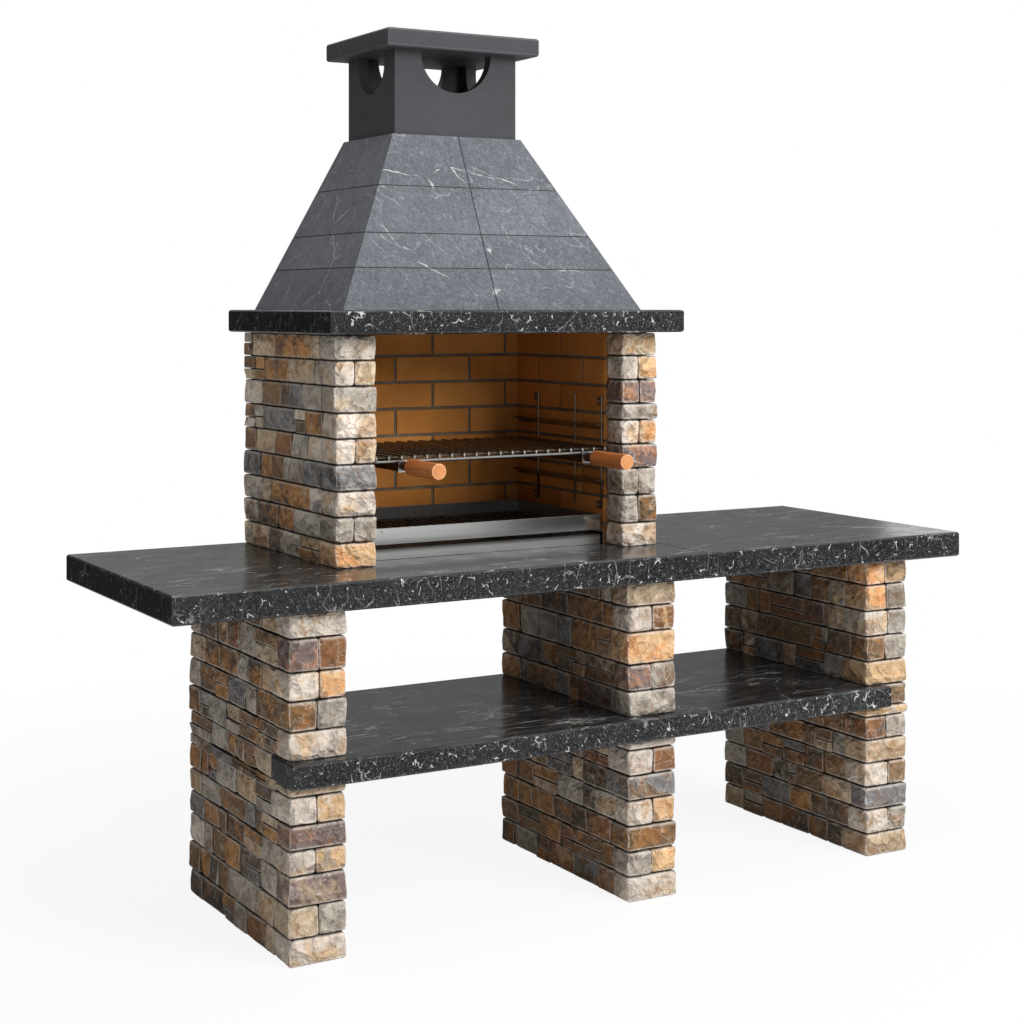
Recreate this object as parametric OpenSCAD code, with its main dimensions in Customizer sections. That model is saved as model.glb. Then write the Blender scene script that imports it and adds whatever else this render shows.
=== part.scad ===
// Masonry barbecue: three stone-clad legs, a shelf, a worktop, a lined firebox
// with a sliding grill, charcoal tray and ash drawer, a tiled hood and a chimney.
// Origin on the ground under the centre of the worktop, X along the front,
// Y towards the back, Z up. Sizes in millimetres.

/* [Worktop] */
// Length of the worktop along the front
worktop_w = 2250; // [2150:10:2500]
// Depth of the worktop from front to back
worktop_d = 770; // [760:5:900]
// Thickness of the worktop slabs
worktop_t = 66; // [40:1:80]
// Height of the worktop's upper face above the ground
worktop_h = 860; // [800:5:950]
// Distance of the slab joint from the firebox's right face
worktop_joint_out = 15; // [5:1:60]
// Gap left between two slabs that meet
slab_joint = 1; // [0.5:0.5:3]
// Eased edge on every slab
slab_ease = 4; // [1:0.5:8]
// Diameter of the steel dowels across the worktop joint
dowel_d = 12; // [8:1:20]
// Length of the steel dowels across the worktop joint
dowel_l = 120; // [60:10:200]

/* [Legs] */
// Width of each leg along the front
leg_w = 150; // [120:5:220]
// Depth of each leg
leg_d = 645; // [560:5:680]
// Distance of the legs' fronts behind the worktop's front edge
leg_setback = 40; // [20:5:80]
// Overhang of the worktop past the left leg
left_overhang = 285; // [150:5:320]
// Overhang of the worktop past the right leg
right_overhang = 145; // [80:5:200]
// Clear width between the left and the middle leg
left_bay_w = 757; // [600:5:800]
// Reach of the top course behind each leg, under the worktop's rear edge
corbel_reach = 83; // [40:1:83]

/* [Shelf] */
// Height of the shelf's upper face above the ground
shelf_h = 459; // [380:1:560]
// Thickness of the shelf slabs
shelf_t = 57; // [40:1:70]
// Distance that the shelf stands proud of the legs' fronts
shelf_proud = 26; // [10:1:38]
// Depth of the shelf's full-width end at the left leg
shelf_return = 125; // [80:5:200]
// Bearing of the shelf on the right leg
shelf_bearing = 65; // [50:1:80]

/* [Stonework] */
// Thickness of the cladding stones
stone_t = 25; // [18:1:35]
// Open joint between courses of stones
stone_joint = 2.5; // [1.5:0.5:4]
// Open upright joint between the stones of a course
upright_joint = 1.5; // [1:0.5:3]
// Average length of the stones along the sides
stone_l = 94; // [80:2:150]
// Shortest corner stone, measured along the side
corner_min = 68; // [60:1:80]
// Longest corner stone, measured along the side
corner_max = 112; // [90:1:130]
// Share of the side stones that are laid as a pair of thinner ones
pair_share = 0.25; // [0:0.05:0.4]

/* [Firebox] */
// Outer width of the firebox
firebox_w = 920; // [880:5:960]
// Depth of the firebox walls
firebox_d = 585; // [560:5:620]
// Height of the firebox walls
firebox_h = 551; // [520:1:640]
// Distance of the firebox from the worktop's left end
firebox_left = 465; // [380:5:520]
// Thickness of each side wall, cladding and lining included
wall_t = 115; // [105:1:125]
// Depth of the front stones on the walls' inner faces
quoin_d = 85; // [70:1:95]
// Thickness of the firebricks
brick_t = 30; // [25:1:35]
// Length of the firebricks
brick_l = 220; // [190:2:240]
// Height of the firebricks
brick_h = 64; // [55:1:75]
// Width of the mortar joints between firebricks
mortar_w = 8; // [4:0.5:12]
// Depth of the mortar behind the firebricks' faces
mortar_recess = 3; // [1:0.5:6]
// Thickness of the rear concrete panel
panel_t = 20; // [15:1:40]

/* [Mantel] */
// Overhang of the mantel at the left and right
mantel_side = 37; // [20:1:60]
// Overhang of the mantel at the front
mantel_front = 57; // [30:1:80]
// Thickness of the mantel
mantel_t = 57; // [40:1:70]
// Width of the smoke throat in the mantel
throat_w = 600; // [500:5:640]
// Depth of the smoke throat in the mantel
throat_d = 400; // [340:5:410]
// Distance of the throat in front of the mantel's back
throat_back = 65; // [55:1:70]

/* [Hood] */
// Height of the hood
hood_h = 447; // [380:1:560]
// Distance of the hood inside the mantel's left and right edges
hood_side = 73; // [50:1:90]
// Distance of the hood behind the mantel's front edge
hood_front = 90; // [60:1:110]
// Thickness of the concrete hood shell, measured level
hood_t = 30; // [25:1:40]
// Thickness of the hood tiles, measured level
tile_t = 10; // [8:0.5:14]
// Open joint between tiles
tile_joint = 2; // [1:0.5:4]
// Bed left between the tiles and the shell
tile_bed = 0.3; // [0.2:0.1:0.8]

/* [Chimney] */
// Width of the chimney box
box_w = 354; // [320:1:400]
// Depth of the chimney box
box_d = 276; // [250:1:320]
// Height of the chimney box
box_h = 216; // [180:1:280]
// Wall thickness of the chimney box
box_t = 30; // [24:1:36]
// Distance of the chimney box in front of the worktop's back edge
box_back = 52; // [30:1:80]
// Width of the smoke outlets in the front and rear walls
outlet_w = 205; // [160:1:230]
// Width of the smoke outlets in the side walls
outlet_side_w = 154; // [120:1:170]
// Depth of the smoke outlets below the cap
outlet_h = 103; // [90:1:120]
// Width of the cap
cap_w = 440; // [410:1:500]
// Depth of the cap
cap_d = 375; // [340:1:420]
// Thickness of the cap
cap_t = 47; // [30:1:60]

/* [Grill] */
// Width of the grill
grill_w = 670; // [640:1:680]
// Depth of the grill
grill_d = 455; // [400:1:460]
// Distance of the grill's front in front of the lining
grill_out = 35; // [20:1:60]
// Distance of each handle from the middle of the grill
handle_x = 262; // [200:1:290]
// Diameter of the grill's frame rods
frame_rod = 8; // [6:0.5:9]
// Diameter of the grill's front-to-back rods
grate_rod = 5; // [3:0.5:6]
// Diameter of the grill's cross rods
cross_rod = 4; // [3:0.5:5]
// Number of front-to-back rods
grate_rods = 20; // [12:1:24]
// Number of cross rods
cross_rods = 14; // [8:1:20]
// Rise of the grate above the frame rods
grate_rise = 12; // [11:0.5:16]
// Height of the runners
runner_h = 28; // [22:1:30]
// Width of the runners
runner_w = 16; // [12:1:20]
// Length of the runners past the frame at each end
runner_nose = 6; // [5:0.5:10]
// Thickness of the runners' end plates
plate_t = 3; // [2:0.5:5]
// Rim of the end plates past the runners
plate_rim = 4; // [2:0.5:6]
// Diameter of the wooden grips
grip_d = 39; // [30:1:42]
// Length of the wooden grips
grip_l = 145; // [120:5:200]
// Diameter of the rod inside each grip
shank_d = 10; // [8:0.5:12]
// Depth of the shank's bore in each grip
shank_in = 100; // [60:5:110]
// Length of the ferrule in front of each runner
ferrule_l = 43; // [20:1:60]
// Diameter of the ferrule
ferrule_d = 22; // [16:1:26]

/* [Grill racks] */
// Height of the lowest ledge above the worktop
ledge_first = 166; // [150:1:180]
// Distance between ledges
ledge_step = 72; // [60:0.5:80]
// Number of ledges on each side
ledge_count = 3; // [2:1:3]
// Width of the ledges
ledge_w = 22; // [19:0.5:24]
// Thickness of the ledges
ledge_t = 3; // [2:0.5:4]
// Diameter of the racks' upright rods
rack_rod = 6; // [5:0.5:7]
// Height of the racks
rack_h = 290; // [285:1:330]
// Height of the racks' lower ends above the worktop
rack_low = 95; // [92:1:100]
// Distance of the racks' first rods behind the lining's front edge
rack_in = 10; // [6:1:20]
// Distance of the racks' middle rods behind the first ones
rack_mid = 130; // [100:5:180]
// Distance of the racks' last rods behind the first ones
rack_last = 320; // [250:5:380]
// Distance of the ledges' front ends behind the lining's front edge
ledge_in = 2; // [1:0.5:6]
// Distance of the ledges' rear ends in front of the rear lining
ledge_back = 12; // [6:1:20]
// Height of the ledges' upright flanges
ledge_flange = 14; // [10:1:20]
// Diameter of the rack screws
screw_d = 5; // [4:0.5:6]
// Length of the rack screws
screw_l = 55; // [45:1:60]
// Diameter of the screws' heads
screw_head = 9; // [8:0.5:12]
// Width of the racks' screw tabs
tab_w = 24; // [20:1:30]
// Height of the racks' screw tabs
tab_h = 20; // [16:1:24]
// Thickness of the racks' screw tabs
tab_t = 3; // [2:0.5:4]

/* [Tray and drawer] */
// Height of the tray's underside above the worktop
tray_low = 37; // [34:1:45]
// Height of the charcoal tray
tray_h = 40; // [30:1:44]
// Depth of the charcoal tray
tray_d = 430; // [380:1:440]
// Distance of the tray's front behind the lining's front edge
tray_in = 10; // [4:1:20]
// Sheet thickness of the tray, the drawer and the rails
sheet_t = 2; // [1.5:0.5:3]
// Side clearance of the tray in the firebox
tray_gap = 7; // [4:0.5:9]
// Width of the ledge round the tray's open floor
tray_ledge = 30; // [20:1:40]
// Thickness of the charcoal grate
grate_t = 6; // [4:0.5:10]
// Slots across the charcoal grate
grate_slots = 22; // [12:1:26]
// Height of the ash drawer
drawer_h = 27; // [20:1:28]
// Depth of the ash drawer
drawer_d = 427; // [380:1:435]
// Distance of the drawer's front in front of the tray's
drawer_proud = 2; // [0:0.5:4]
// Width of the rails' upper flanges
rail_w = 20; // [14:1:24]
// Distance of the rails' front ends behind the lining's front edge
rail_in = 4; // [1:1:10]
// Diameter of the rivets in the tray's corners
rivet_d = 4; // [3:0.5:6]
// Distance of the rivets from the tray's sides
rivet_in = 46; // [15:1:80]
// Distance of the rivets below the tray's rim
rivet_down = 8; // [5:1:14]
// Running gap under and beside the moving pieces
run_gap = 0.3; // [0.2:0.1:0.6]

/* [Hidden] */
$fn = 48;
eps = 0.01;

// Worktop and shelf
work_x0 = -worktop_w / 2;
work_x1 = worktop_w / 2;
work_y0 = -worktop_d / 2;
work_y1 = worktop_d / 2;
work_z0 = worktop_h - worktop_t;
shelf_z0 = shelf_h - shelf_t;

// Legs
leg_y0 = work_y0 + leg_setback;
leg_y1 = leg_y0 + leg_d;
left_leg_x = work_x0 + left_overhang;
middle_leg_x = left_leg_x + leg_w + left_bay_w;
right_leg_x = work_x1 - right_overhang - leg_w;
shelf_y0 = leg_y0 - shelf_proud;
shelf_mid = middle_leg_x + leg_w / 2;
shelf_x1 = right_leg_x + shelf_bearing;

// Courses from the bottom up, each as a number of front stones and a relative height
left_leg_low = [[1, 28], [2, 31], [1, 31], [2, 25], [1, 25], [2, 28], [1, 10]];
left_leg_high = [[1, 29], [2, 30], [2, 28], [2, 33], [1, 26]];
middle_leg_low = [[1, 28], [2, 27], [1, 28], [2, 28], [1, 27], [2, 28], [1, 11]];
middle_leg_high = [[1, 27], [2, 28], [1, 34], [2, 27], [1, 26]];
right_leg_low = [[1, 27], [2, 28], [1, 27], [2, 28], [1, 27], [2, 27], [1, 12]];
right_leg_high = [[1, 27], [2, 28], [2, 28], [2, 29], [2, 27]];
left_wall_rows = [[1, 25], [2, 25], [1, 25], [1, 26], [2, 25], [1, 25], [1, 26], [2, 25], [1, 25]];
right_wall_rows = [[1, 25], [2, 29], [2, 28], [1, 25], [2, 25], [1, 17], [2, 25], [2, 25], [1, 24]];

// Relative heights of the hood's tile courses from the bottom up
tile_rows = [104, 87, 121, 135];

// Firebox
fire_x0 = work_x0 + firebox_left;
fire_x1 = fire_x0 + firebox_w;
fire_xc = (fire_x0 + fire_x1) / 2;
fire_y1 = work_y1;
fire_y0 = fire_y1 - firebox_d;
fire_z1 = worktop_h + firebox_h;
open_w = firebox_w - 2 * wall_t;
lining_y0 = fire_y0 + quoin_d;
panel_y0 = fire_y1 - panel_t;
rear_face_y = panel_y0 - brick_t;
side_lining = rear_face_y - lining_y0;
rear_lining = firebox_w - 2 * (wall_t - brick_t);
core_u0 = stone_t;
core_u1 = wall_t - brick_t;
work_joint_x = fire_x1 + worktop_joint_out;

// Mantel, hood and chimney
mantel_x0 = fire_x0 - mantel_side;
mantel_x1 = fire_x1 + mantel_side;
mantel_y0 = fire_y0 - mantel_front;
hood_z0 = fire_z1 + mantel_t;
hood_z1 = hood_z0 + hood_h;
box_x0 = fire_xc - box_w / 2;
box_x1 = fire_xc + box_w / 2;
box_y1 = work_y1 - box_back;
box_y0 = box_y1 - box_d;
box_z1 = hood_z1 + box_h;
hood_base = [mantel_x0 + hood_side, mantel_x1 - hood_side, mantel_y0 + hood_front, fire_y1];
hood_top = [box_x0 - tile_t, box_x1 + tile_t, box_y0 - tile_t, box_y1 + tile_t];
tile_total = sum(tile_rows, len(tile_rows));
tile_z = [for (i = [0:len(tile_rows)]) hood_z0 + hood_h * sum(tile_rows, i) / tile_total];

// Grill, racks, tray and drawer
grill_y0 = lining_y0 - grill_out;
grill_y1 = grill_y0 + grill_d;
grill_half = grill_w / 2;
grill_ledge_z = worktop_h + ledge_first + ledge_step;
frame_z = grill_ledge_z + run_gap + frame_rod / 2;
grate_z = frame_z + grate_rise;
runner_z1 = frame_z + frame_rod / 2;
grip_z = runner_z1 - runner_h / 2;
plate_y = grill_y0 - runner_nose - plate_t;
grip_y1 = plate_y - ferrule_l;
wall_half = open_w / 2;
rack_y0 = lining_y0 + rack_in;
rack_y1 = rear_face_y - ledge_back;
rack_rod_y = [rack_y0, rack_y0 + rack_mid, rack_y0 + rack_last];
rack_tab_z = [rack_low + tab_h / 4, rack_low + rack_h - 3 * tab_h / 4];
tray_half = wall_half - tray_gap;
tray_y0 = lining_y0 + tray_in;
tray_z0 = worktop_h + tray_low;
drawer_y0 = tray_y0 - drawer_proud;
drawer_z0 = worktop_h + run_gap;

// Sum of the first n entries of a list
function sum(v, n) = n <= 0 ? 0 : v[n - 1] + sum(v, n - 1);

// Positions that divide a to b into n uneven lengths, repeatable by seed
function cuts(a, b, n, seed, spread) =
  let (w = rands(1 - spread, 1 + spread, n, seed), total = sum(w, n))
  [for (i = [0:n]) a + (b - a) * sum(w, i) / total];

// Heights of course joints between z0 and z1, from relative heights
function course_z(rows, z0, z1) =
  let (h = [for (r = rows) r[1]], total = sum(h, len(h)))
  [for (i = [0:len(h)]) z0 + (z1 - z0) * sum(h, i) / total];

// Number of stones on a side of a given length
function side_count(length) = max(2, round(length / stone_l));

// Share of a side stone's height at which it is laid as a pair, or 0 for a whole stone
function pair_split(seed) =
  let (r = rands(0, 1, 2, seed)) r[0] < pair_share ? 0.4 + 0.2 * r[1] : 0;

// Depth of a corner stone, repeatable by seed
function corner_d(seed) = rands(corner_min, corner_max, 1, seed)[0];

// Level outline of the hood at a height, drawn in by an inset: x0, x1, y0, y1
function hood_rect(z, inset) =
  let (k = (z - hood_z0) / hood_h, r = hood_base + (hood_top - hood_base) * k)
  [r[0] + inset, r[1] - inset, r[2] + inset, r[3] - inset];

// Corner of the hood outline, counted from the front left, anticlockwise seen from above
function hood_corner(z, inset, i) =
  let (r = hood_rect(z, inset), k = i % 4)
  [(k == 0 || k == 3) ? r[0] : r[1], k < 2 ? r[2] : r[3], z];

// Direction along a hood side, anticlockwise seen from above
function side_dir(side) = [[1, 0, 0], [0, 1, 0], [-1, 0, 0], [0, -1, 0]][side];

// Point on a hood face, a share u of the way between its ends, moved along it by a shift
function hood_pt(side, u, z, ends, shift) =
  (hood_corner(z, 0, side) + ends * side_dir(side)) * (1 - u)
  + (hood_corner(z, 0, side + 1) - ends * side_dir(side)) * u + shift * side_dir(side);

// Box between two corners
module block(a, b) {
  translate(a) cube(b - a);
}

// Slab between two corners with eased upper and lower edges
module eased_slab(a, b) {
  s = b - a;
  c = slab_ease;
  translate(a) intersection() {
    translate([0, s[1], 0]) rotate([90, 0, 0]) linear_extrude(s[1])
      polygon([[c, 0], [s[0] - c, 0], [s[0], c], [s[0], s[2] - c],
               [s[0] - c, s[2]], [c, s[2]], [0, s[2] - c], [0, c]]);
    rotate([90, 0, 90]) linear_extrude(s[0])
      polygon([[c, 0], [s[1] - c, 0], [s[1], c], [s[1], s[2] - c],
               [s[1] - c, s[2]], [c, s[2]], [0, s[2] - c], [0, c]]);
  }
}

// Rod of diameter d between two points on a line along one axis
module rod(a, b, d) {
  v = b - a;
  turn = v[0] != 0 ? [0, 90, 0] : v[1] != 0 ? [-90, 0, 0] : [0, 0, 0];
  translate(a) rotate(turn) cylinder(d = d, h = norm(v));
}

// Front or rear stones of one course: n stones across the width, wrapping the core
module end_stones(x0, x1, y0, y1, z0, z1, n, seed, core) {
  split = x0 + (x1 - x0) * rands(0.46, 0.54, 1, seed)[0];
  edges = n == 1 ? [x0, x1] : [x0, split, x1];
  for (i = [0:n - 1]) difference() {
    block([edges[i] + (i > 0 ? upright_joint / 2 : 0), y0, z0],
          [edges[i + 1] - (i < n - 1 ? upright_joint / 2 : 0), y1, z1]);
    block([core[0], core[2], z0 - 1], [core[1], core[3], z1 + 1]);
  }
}

// Row of stones along one side, some of them in pairs of thinner ones
module side_stones(x0, x1, y0, y1, z0, z1, seed) {
  n = side_count(y1 - y0);
  c = cuts(y0, y1, n, seed, 0.6);
  for (i = [0:n - 1]) {
    front = c[i] + (i > 0 ? upright_joint : 0);
    split = pair_split(20 * seed + i);
    bed = z0 + (z1 - z0) * split;
    if (split > 0) block([x0, front, z0], [x1, c[i + 1], bed - stone_joint / 2]);
    block([x0, front, split > 0 ? bed + stone_joint / 2 : z0], [x1, c[i + 1], z1]);
  }
}

// One course of a leg all round its core
module leg_course(x, z0, z1, n, seed, rear_reach) {
  x1 = x + leg_w;
  core = [x + stone_t, x1 - stone_t, leg_y0 + stone_t, leg_y1 - stone_t];
  front = leg_y0 + corner_d(seed);
  rear = leg_y1 - corner_d(seed + 1);
  top = z1 - stone_joint;
  end_stones(x, x1, leg_y0, front, z0, top, n, seed + 2, core);
  end_stones(x, x1, rear, leg_y1 + rear_reach, z0, top, 3 - n, seed + 3, core);
  y0 = front + upright_joint;
  y1 = rear - upright_joint;
  side_stones(x, x + stone_t, y0, y1, z0, top, seed + 4);
  side_stones(x1 - stone_t, x1, y0, y1, z0, top, seed + 5);
}

// Courses of a leg below and above the shelf
module leg_courses(x, low, high, seed) {
  z_low = course_z(low, 0, shelf_z0);
  z_high = course_z(high, shelf_h, work_z0);
  for (i = [0:len(low) - 1])
    leg_course(x, z_low[i], z_low[i + 1], low[i][0], seed + 10 * i, 0);
  for (i = [0:len(high) - 1])
    leg_course(x, z_high[i], z_high[i + 1], high[i][0], seed + 200 + 10 * i,
               i == len(high) - 1 ? corbel_reach : 0);
}

// Core block of a leg between two heights
module leg_block(x, z0, z1) {
  block([x + stone_t, leg_y0 + stone_t, z0], [x + leg_w - stone_t, leg_y1 - stone_t, z1]);
}

// Core of a leg, in two blocks with the shelf between them
module leg_core(x) {
  leg_block(x, 0, shelf_z0);
  leg_block(x, shelf_h, work_z0);
}

module left_leg_core() {
  color("gray") leg_core(left_leg_x);
}

module middle_leg_core() {
  color("gray") leg_core(middle_leg_x);
}

// The right core is one piece, rebated for the end of the shelf
module right_leg_core() {
  color("gray") difference() {
    leg_block(right_leg_x, 0, work_z0);
    block([right_leg_x, leg_y0, shelf_z0], [shelf_x1, leg_y1, shelf_h]);
  }
}

// The left leg's outer stones run past the shelf behind its return
module left_leg_stones() {
  color("tan") {
    leg_courses(left_leg_x, left_leg_low, left_leg_high, 100);
    side_stones(left_leg_x, left_leg_x + stone_t, shelf_y0 + shelf_return + upright_joint, leg_y1,
                shelf_z0, shelf_h - stone_joint, 390);
  }
}

module middle_leg_stones() {
  color("tan") leg_courses(middle_leg_x, middle_leg_low, middle_leg_high, 500);
}

// The right leg's stones close round the end of the shelf
module right_leg_stones() {
  x0 = shelf_x1 + upright_joint;
  x1 = right_leg_x + leg_w;
  core = [shelf_x1, x1 - stone_t, leg_y0 + stone_t, leg_y1 - stone_t];
  front = leg_y0 + corner_max;
  rear = leg_y1 - corner_min;
  top = shelf_h - stone_joint;
  color("tan") {
    leg_courses(right_leg_x, right_leg_low, right_leg_high, 900);
    end_stones(x0, x1, leg_y0, front, shelf_z0, top, 1, 1290, core);
    end_stones(x0, x1, rear, leg_y1, shelf_z0, top, 1, 1291, core);
    side_stones(x1 - stone_t, x1, front + upright_joint, rear - upright_joint, shelf_z0, top,
                1292);
  }
}

// The left slab's end is narrowed behind its return, where stones cover it
module left_shelf_slab() {
  color("dimgray") difference() {
    eased_slab([left_leg_x, shelf_y0, shelf_z0], [shelf_mid - slab_joint / 2, leg_y1, shelf_h]);
    block([left_leg_x - 1, shelf_y0 + shelf_return, shelf_z0 - 1],
          [left_leg_x + stone_t, leg_y1 + 1, shelf_h + 1]);
  }
}

module right_shelf_slab() {
  color("dimgray")
    eased_slab([shelf_mid + slab_joint / 2, shelf_y0, shelf_z0], [shelf_x1, leg_y1, shelf_h]);
}

// Dowels across the worktop joint
module dowels(d, l) {
  for (k = [-1, 0, 1])
    translate([work_joint_x - l / 2, k * worktop_d / 3, work_z0 + worktop_t / 2])
      rotate([0, 90, 0]) cylinder(d = d, h = l);
}

module left_worktop_slab() {
  color("dimgray") difference() {
    eased_slab([work_x0, work_y0, work_z0], [work_joint_x - slab_joint / 2, work_y1, worktop_h]);
    dowels(dowel_d + 0.1, dowel_l + 1);
  }
}

module right_worktop_slab() {
  color("dimgray") difference() {
    eased_slab([work_joint_x + slab_joint / 2, work_y0, work_z0], [work_x1, work_y1, worktop_h]);
    dowels(dowel_d + 0.1, dowel_l + 1);
  }
}

module worktop_dowels() {
  color("silver") dowels(dowel_d, dowel_l);
}

// Places a piece drawn from the left wall's outer face, on the left or mirrored on the right
module wall_side(right) {
  if (right) translate([fire_x1, 0, 0]) mirror([1, 0, 0]) children();
  else translate([fire_x0, 0, 0]) children();
}

// Concrete core of a side wall, drilled for the rack screws
module wall_core(right) {
  color("gray") wall_side(right) difference() {
    block([core_u0, fire_y0 + stone_t, worktop_h], [core_u1, panel_y0, fire_z1]);
    rack_holes();
  }
}

module left_wall_core() {
  wall_core(false);
}

module right_wall_core() {
  wall_core(true);
}

// Cladding of a side wall: front stones wrap the core, side stones run to the back
module wall_stones(right, rows, seed) {
  z = course_z(rows, worktop_h, fire_z1);
  color("tan") wall_side(right) for (i = [0:len(rows) - 1]) {
    s = seed + 10 * i;
    q = max(quoin_d, corner_d(s));
    n = rows[i][0];
    top = z[i + 1] - stone_joint;
    difference() {
      end_stones(0, wall_t, fire_y0, fire_y0 + q, z[i], top, n, s + 1,
                 [core_u0, core_u1, fire_y0 + stone_t, fire_y1]);
      block([core_u1 - 1, lining_y0, z[i] - 1], [wall_t + 1, fire_y1, z[i + 1]]);
    }
    side_stones(0, stone_t, fire_y0 + q + upright_joint, fire_y1, z[i], top, s + 2);
  }
}

module left_wall_stones() {
  wall_stones(false, left_wall_rows, 1500);
}

module right_wall_stones() {
  wall_stones(true, right_wall_rows, 1700);
}

module rear_wall_panel() {
  color("gray") block([fire_x0 + core_u0, panel_y0, worktop_h], [fire_x1 - core_u0, fire_y1, fire_z1]);
}

// Firebricks on a wall of the given length, face in the XZ plane at y = 0, bricks behind it
module brick_wall(length) {
  step_z = brick_h + mortar_w;
  step_x = brick_l + mortar_w;
  rows = ceil(firebox_h / step_z);
  for (r = [0:rows - 1]) {
    z1 = fire_z1 - r * step_z;
    z0 = max(worktop_h, z1 - brick_h);
    shift = (r % 2) * step_x / 2;
    if (z1 - z0 > 5) for (c = [0:ceil(length / step_x)]) {
      x0 = max(0, c * step_x - shift);
      x1 = min(length, c * step_x - shift + brick_l);
      if (x1 - x0 > 15) block([x0, 0, z0], [x1, brick_t, z1]);
    }
  }
}

// Mortar between the firebricks of the same wall
module mortar_wall(length) {
  difference() {
    block([0, mortar_recess, worktop_h], [length, brick_t, fire_z1]);
    brick_wall(length);
  }
}

module side_bricks(right) {
  color("peru") wall_side(right) difference() {
    translate([wall_t, lining_y0, 0]) rotate([0, 0, 90]) brick_wall(side_lining);
    rack_holes();
  }
}

module left_firebricks() {
  side_bricks(false);
}

module right_firebricks() {
  side_bricks(true);
}

module rear_firebricks() {
  color("peru") translate([fire_x0 + core_u1, rear_face_y, 0]) brick_wall(rear_lining);
}

module side_mortar(right) {
  color("dimgray") wall_side(right)
    translate([wall_t, lining_y0, 0]) rotate([0, 0, 90]) mortar_wall(side_lining);
}

module left_mortar() {
  side_mortar(false);
}

module right_mortar() {
  side_mortar(true);
}

module rear_mortar() {
  color("dimgray") translate([fire_x0 + core_u1, rear_face_y, 0]) mortar_wall(rear_lining);
}

// Mantel with the smoke throat
module mantel_slab() {
  color("dimgray") difference() {
    eased_slab([mantel_x0, mantel_y0, fire_z1], [mantel_x1, fire_y1, hood_z0]);
    block([fire_xc - throat_w / 2, fire_y1 - throat_back - throat_d, fire_z1 - 1],
          [fire_xc + throat_w / 2, fire_y1 - throat_back, hood_z0 + 1]);
  }
}

// Solid pyramid trunk between two heights of the hood, drawn in by an inset
module hood_trunk(za, zb, inset) {
  polyhedron(
    [for (z = [za, zb]) for (i = [0:3]) hood_corner(z, inset, i)],
    [[0, 1, 2, 3], [7, 6, 5, 4], [0, 4, 5, 1], [1, 5, 6, 2], [2, 6, 7, 3], [3, 7, 4, 0]]);
}

module hood_shell() {
  color("gray") difference() {
    hood_trunk(hood_z0, hood_z1, tile_t + tile_bed);
    hood_trunk(hood_z0 - 1, hood_z1 + 1, tile_t + tile_bed + hood_t);
  }
}

// Tile with its outer corners given anticlockwise as seen from outside, and its depth inwards
module tile(outer, depth) {
  polyhedron(
    concat(outer, [for (p = outer) p + depth]),
    [[3, 2, 1, 0], [4, 5, 6, 7], [0, 1, 5, 4], [1, 2, 6, 5], [2, 3, 7, 6], [3, 0, 4, 7]]);
}

// Tiles of one side: two a course at the front and rear, one between them at the left and right
module hood_tiles(side) {
  count = side % 2 == 0 ? 2 : 1;
  ends = side % 2 == 0 ? 0 : tile_t + tile_joint;
  for (row = [0:len(tile_rows) - 1]) for (i = [0:count - 1]) {
    z0 = tile_z[row];
    z1 = tile_z[row + 1] - (row < len(tile_rows) - 1 ? tile_joint : 0);
    a = i > 0 ? tile_joint / 2 : 0;
    b = i < count - 1 ? -tile_joint / 2 : 0;
    tile([hood_pt(side, i / count, z0, ends, a), hood_pt(side, (i + 1) / count, z0, ends, b),
          hood_pt(side, (i + 1) / count, z1, ends, b), hood_pt(side, i / count, z1, ends, a)],
         tile_t * side_dir((side + 1) % 4));
  }
}

module hood_front_tiles() {
  color("slategray") hood_tiles(0);
}

module hood_right_tiles() {
  color("slategray") hood_tiles(1);
}

module hood_rear_tiles() {
  color("slategray") hood_tiles(2);
}

module hood_left_tiles() {
  color("slategray") hood_tiles(3);
}

// Round-bottomed outlet through two facing walls, its axis along Y, open at the top
module outlet(w, l) {
  translate([0, l / 2, -outlet_h + w / 2]) rotate([90, 0, 0]) cylinder(d = w, h = l);
  block([-w / 2, -l / 2, -outlet_h + w / 2], [w / 2, l / 2, 1]);
}

module chimney_box() {
  yc = (box_y0 + box_y1) / 2;
  color("dimgray") difference() {
    block([box_x0, box_y0, hood_z1], [box_x1, box_y1, box_z1]);
    block([box_x0 + box_t, box_y0 + box_t, hood_z1 - 1],
          [box_x1 - box_t, box_y1 - box_t, box_z1 + 1]);
    translate([fire_xc, yc, box_z1]) outlet(outlet_w, box_d + 2);
    translate([fire_xc, yc, box_z1]) rotate([0, 0, 90]) outlet(outlet_side_w, box_w + 2);
  }
}

module chimney_cap() {
  yc = (box_y0 + box_y1) / 2;
  color("dimgray") eased_slab([fire_xc - cap_w / 2, yc - cap_d / 2, box_z1],
                              [fire_xc + cap_w / 2, yc + cap_d / 2, box_z1 + cap_t]);
}

// Runs its children at every screw place, axis pointing into the wall
module at_screws() {
  for (y = [rack_rod_y[0], rack_rod_y[2]]) for (z = rack_tab_z)
    translate([wall_t, y + tab_w / 2 + 2, worktop_h + z]) rotate([0, -90, 0]) children();
}

// Holes for the rack screws in the lining and the core
module rack_holes() {
  at_screws() translate([0, 0, -1]) cylinder(d = screw_d + 0.1, h = screw_l + 2);
}

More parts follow.
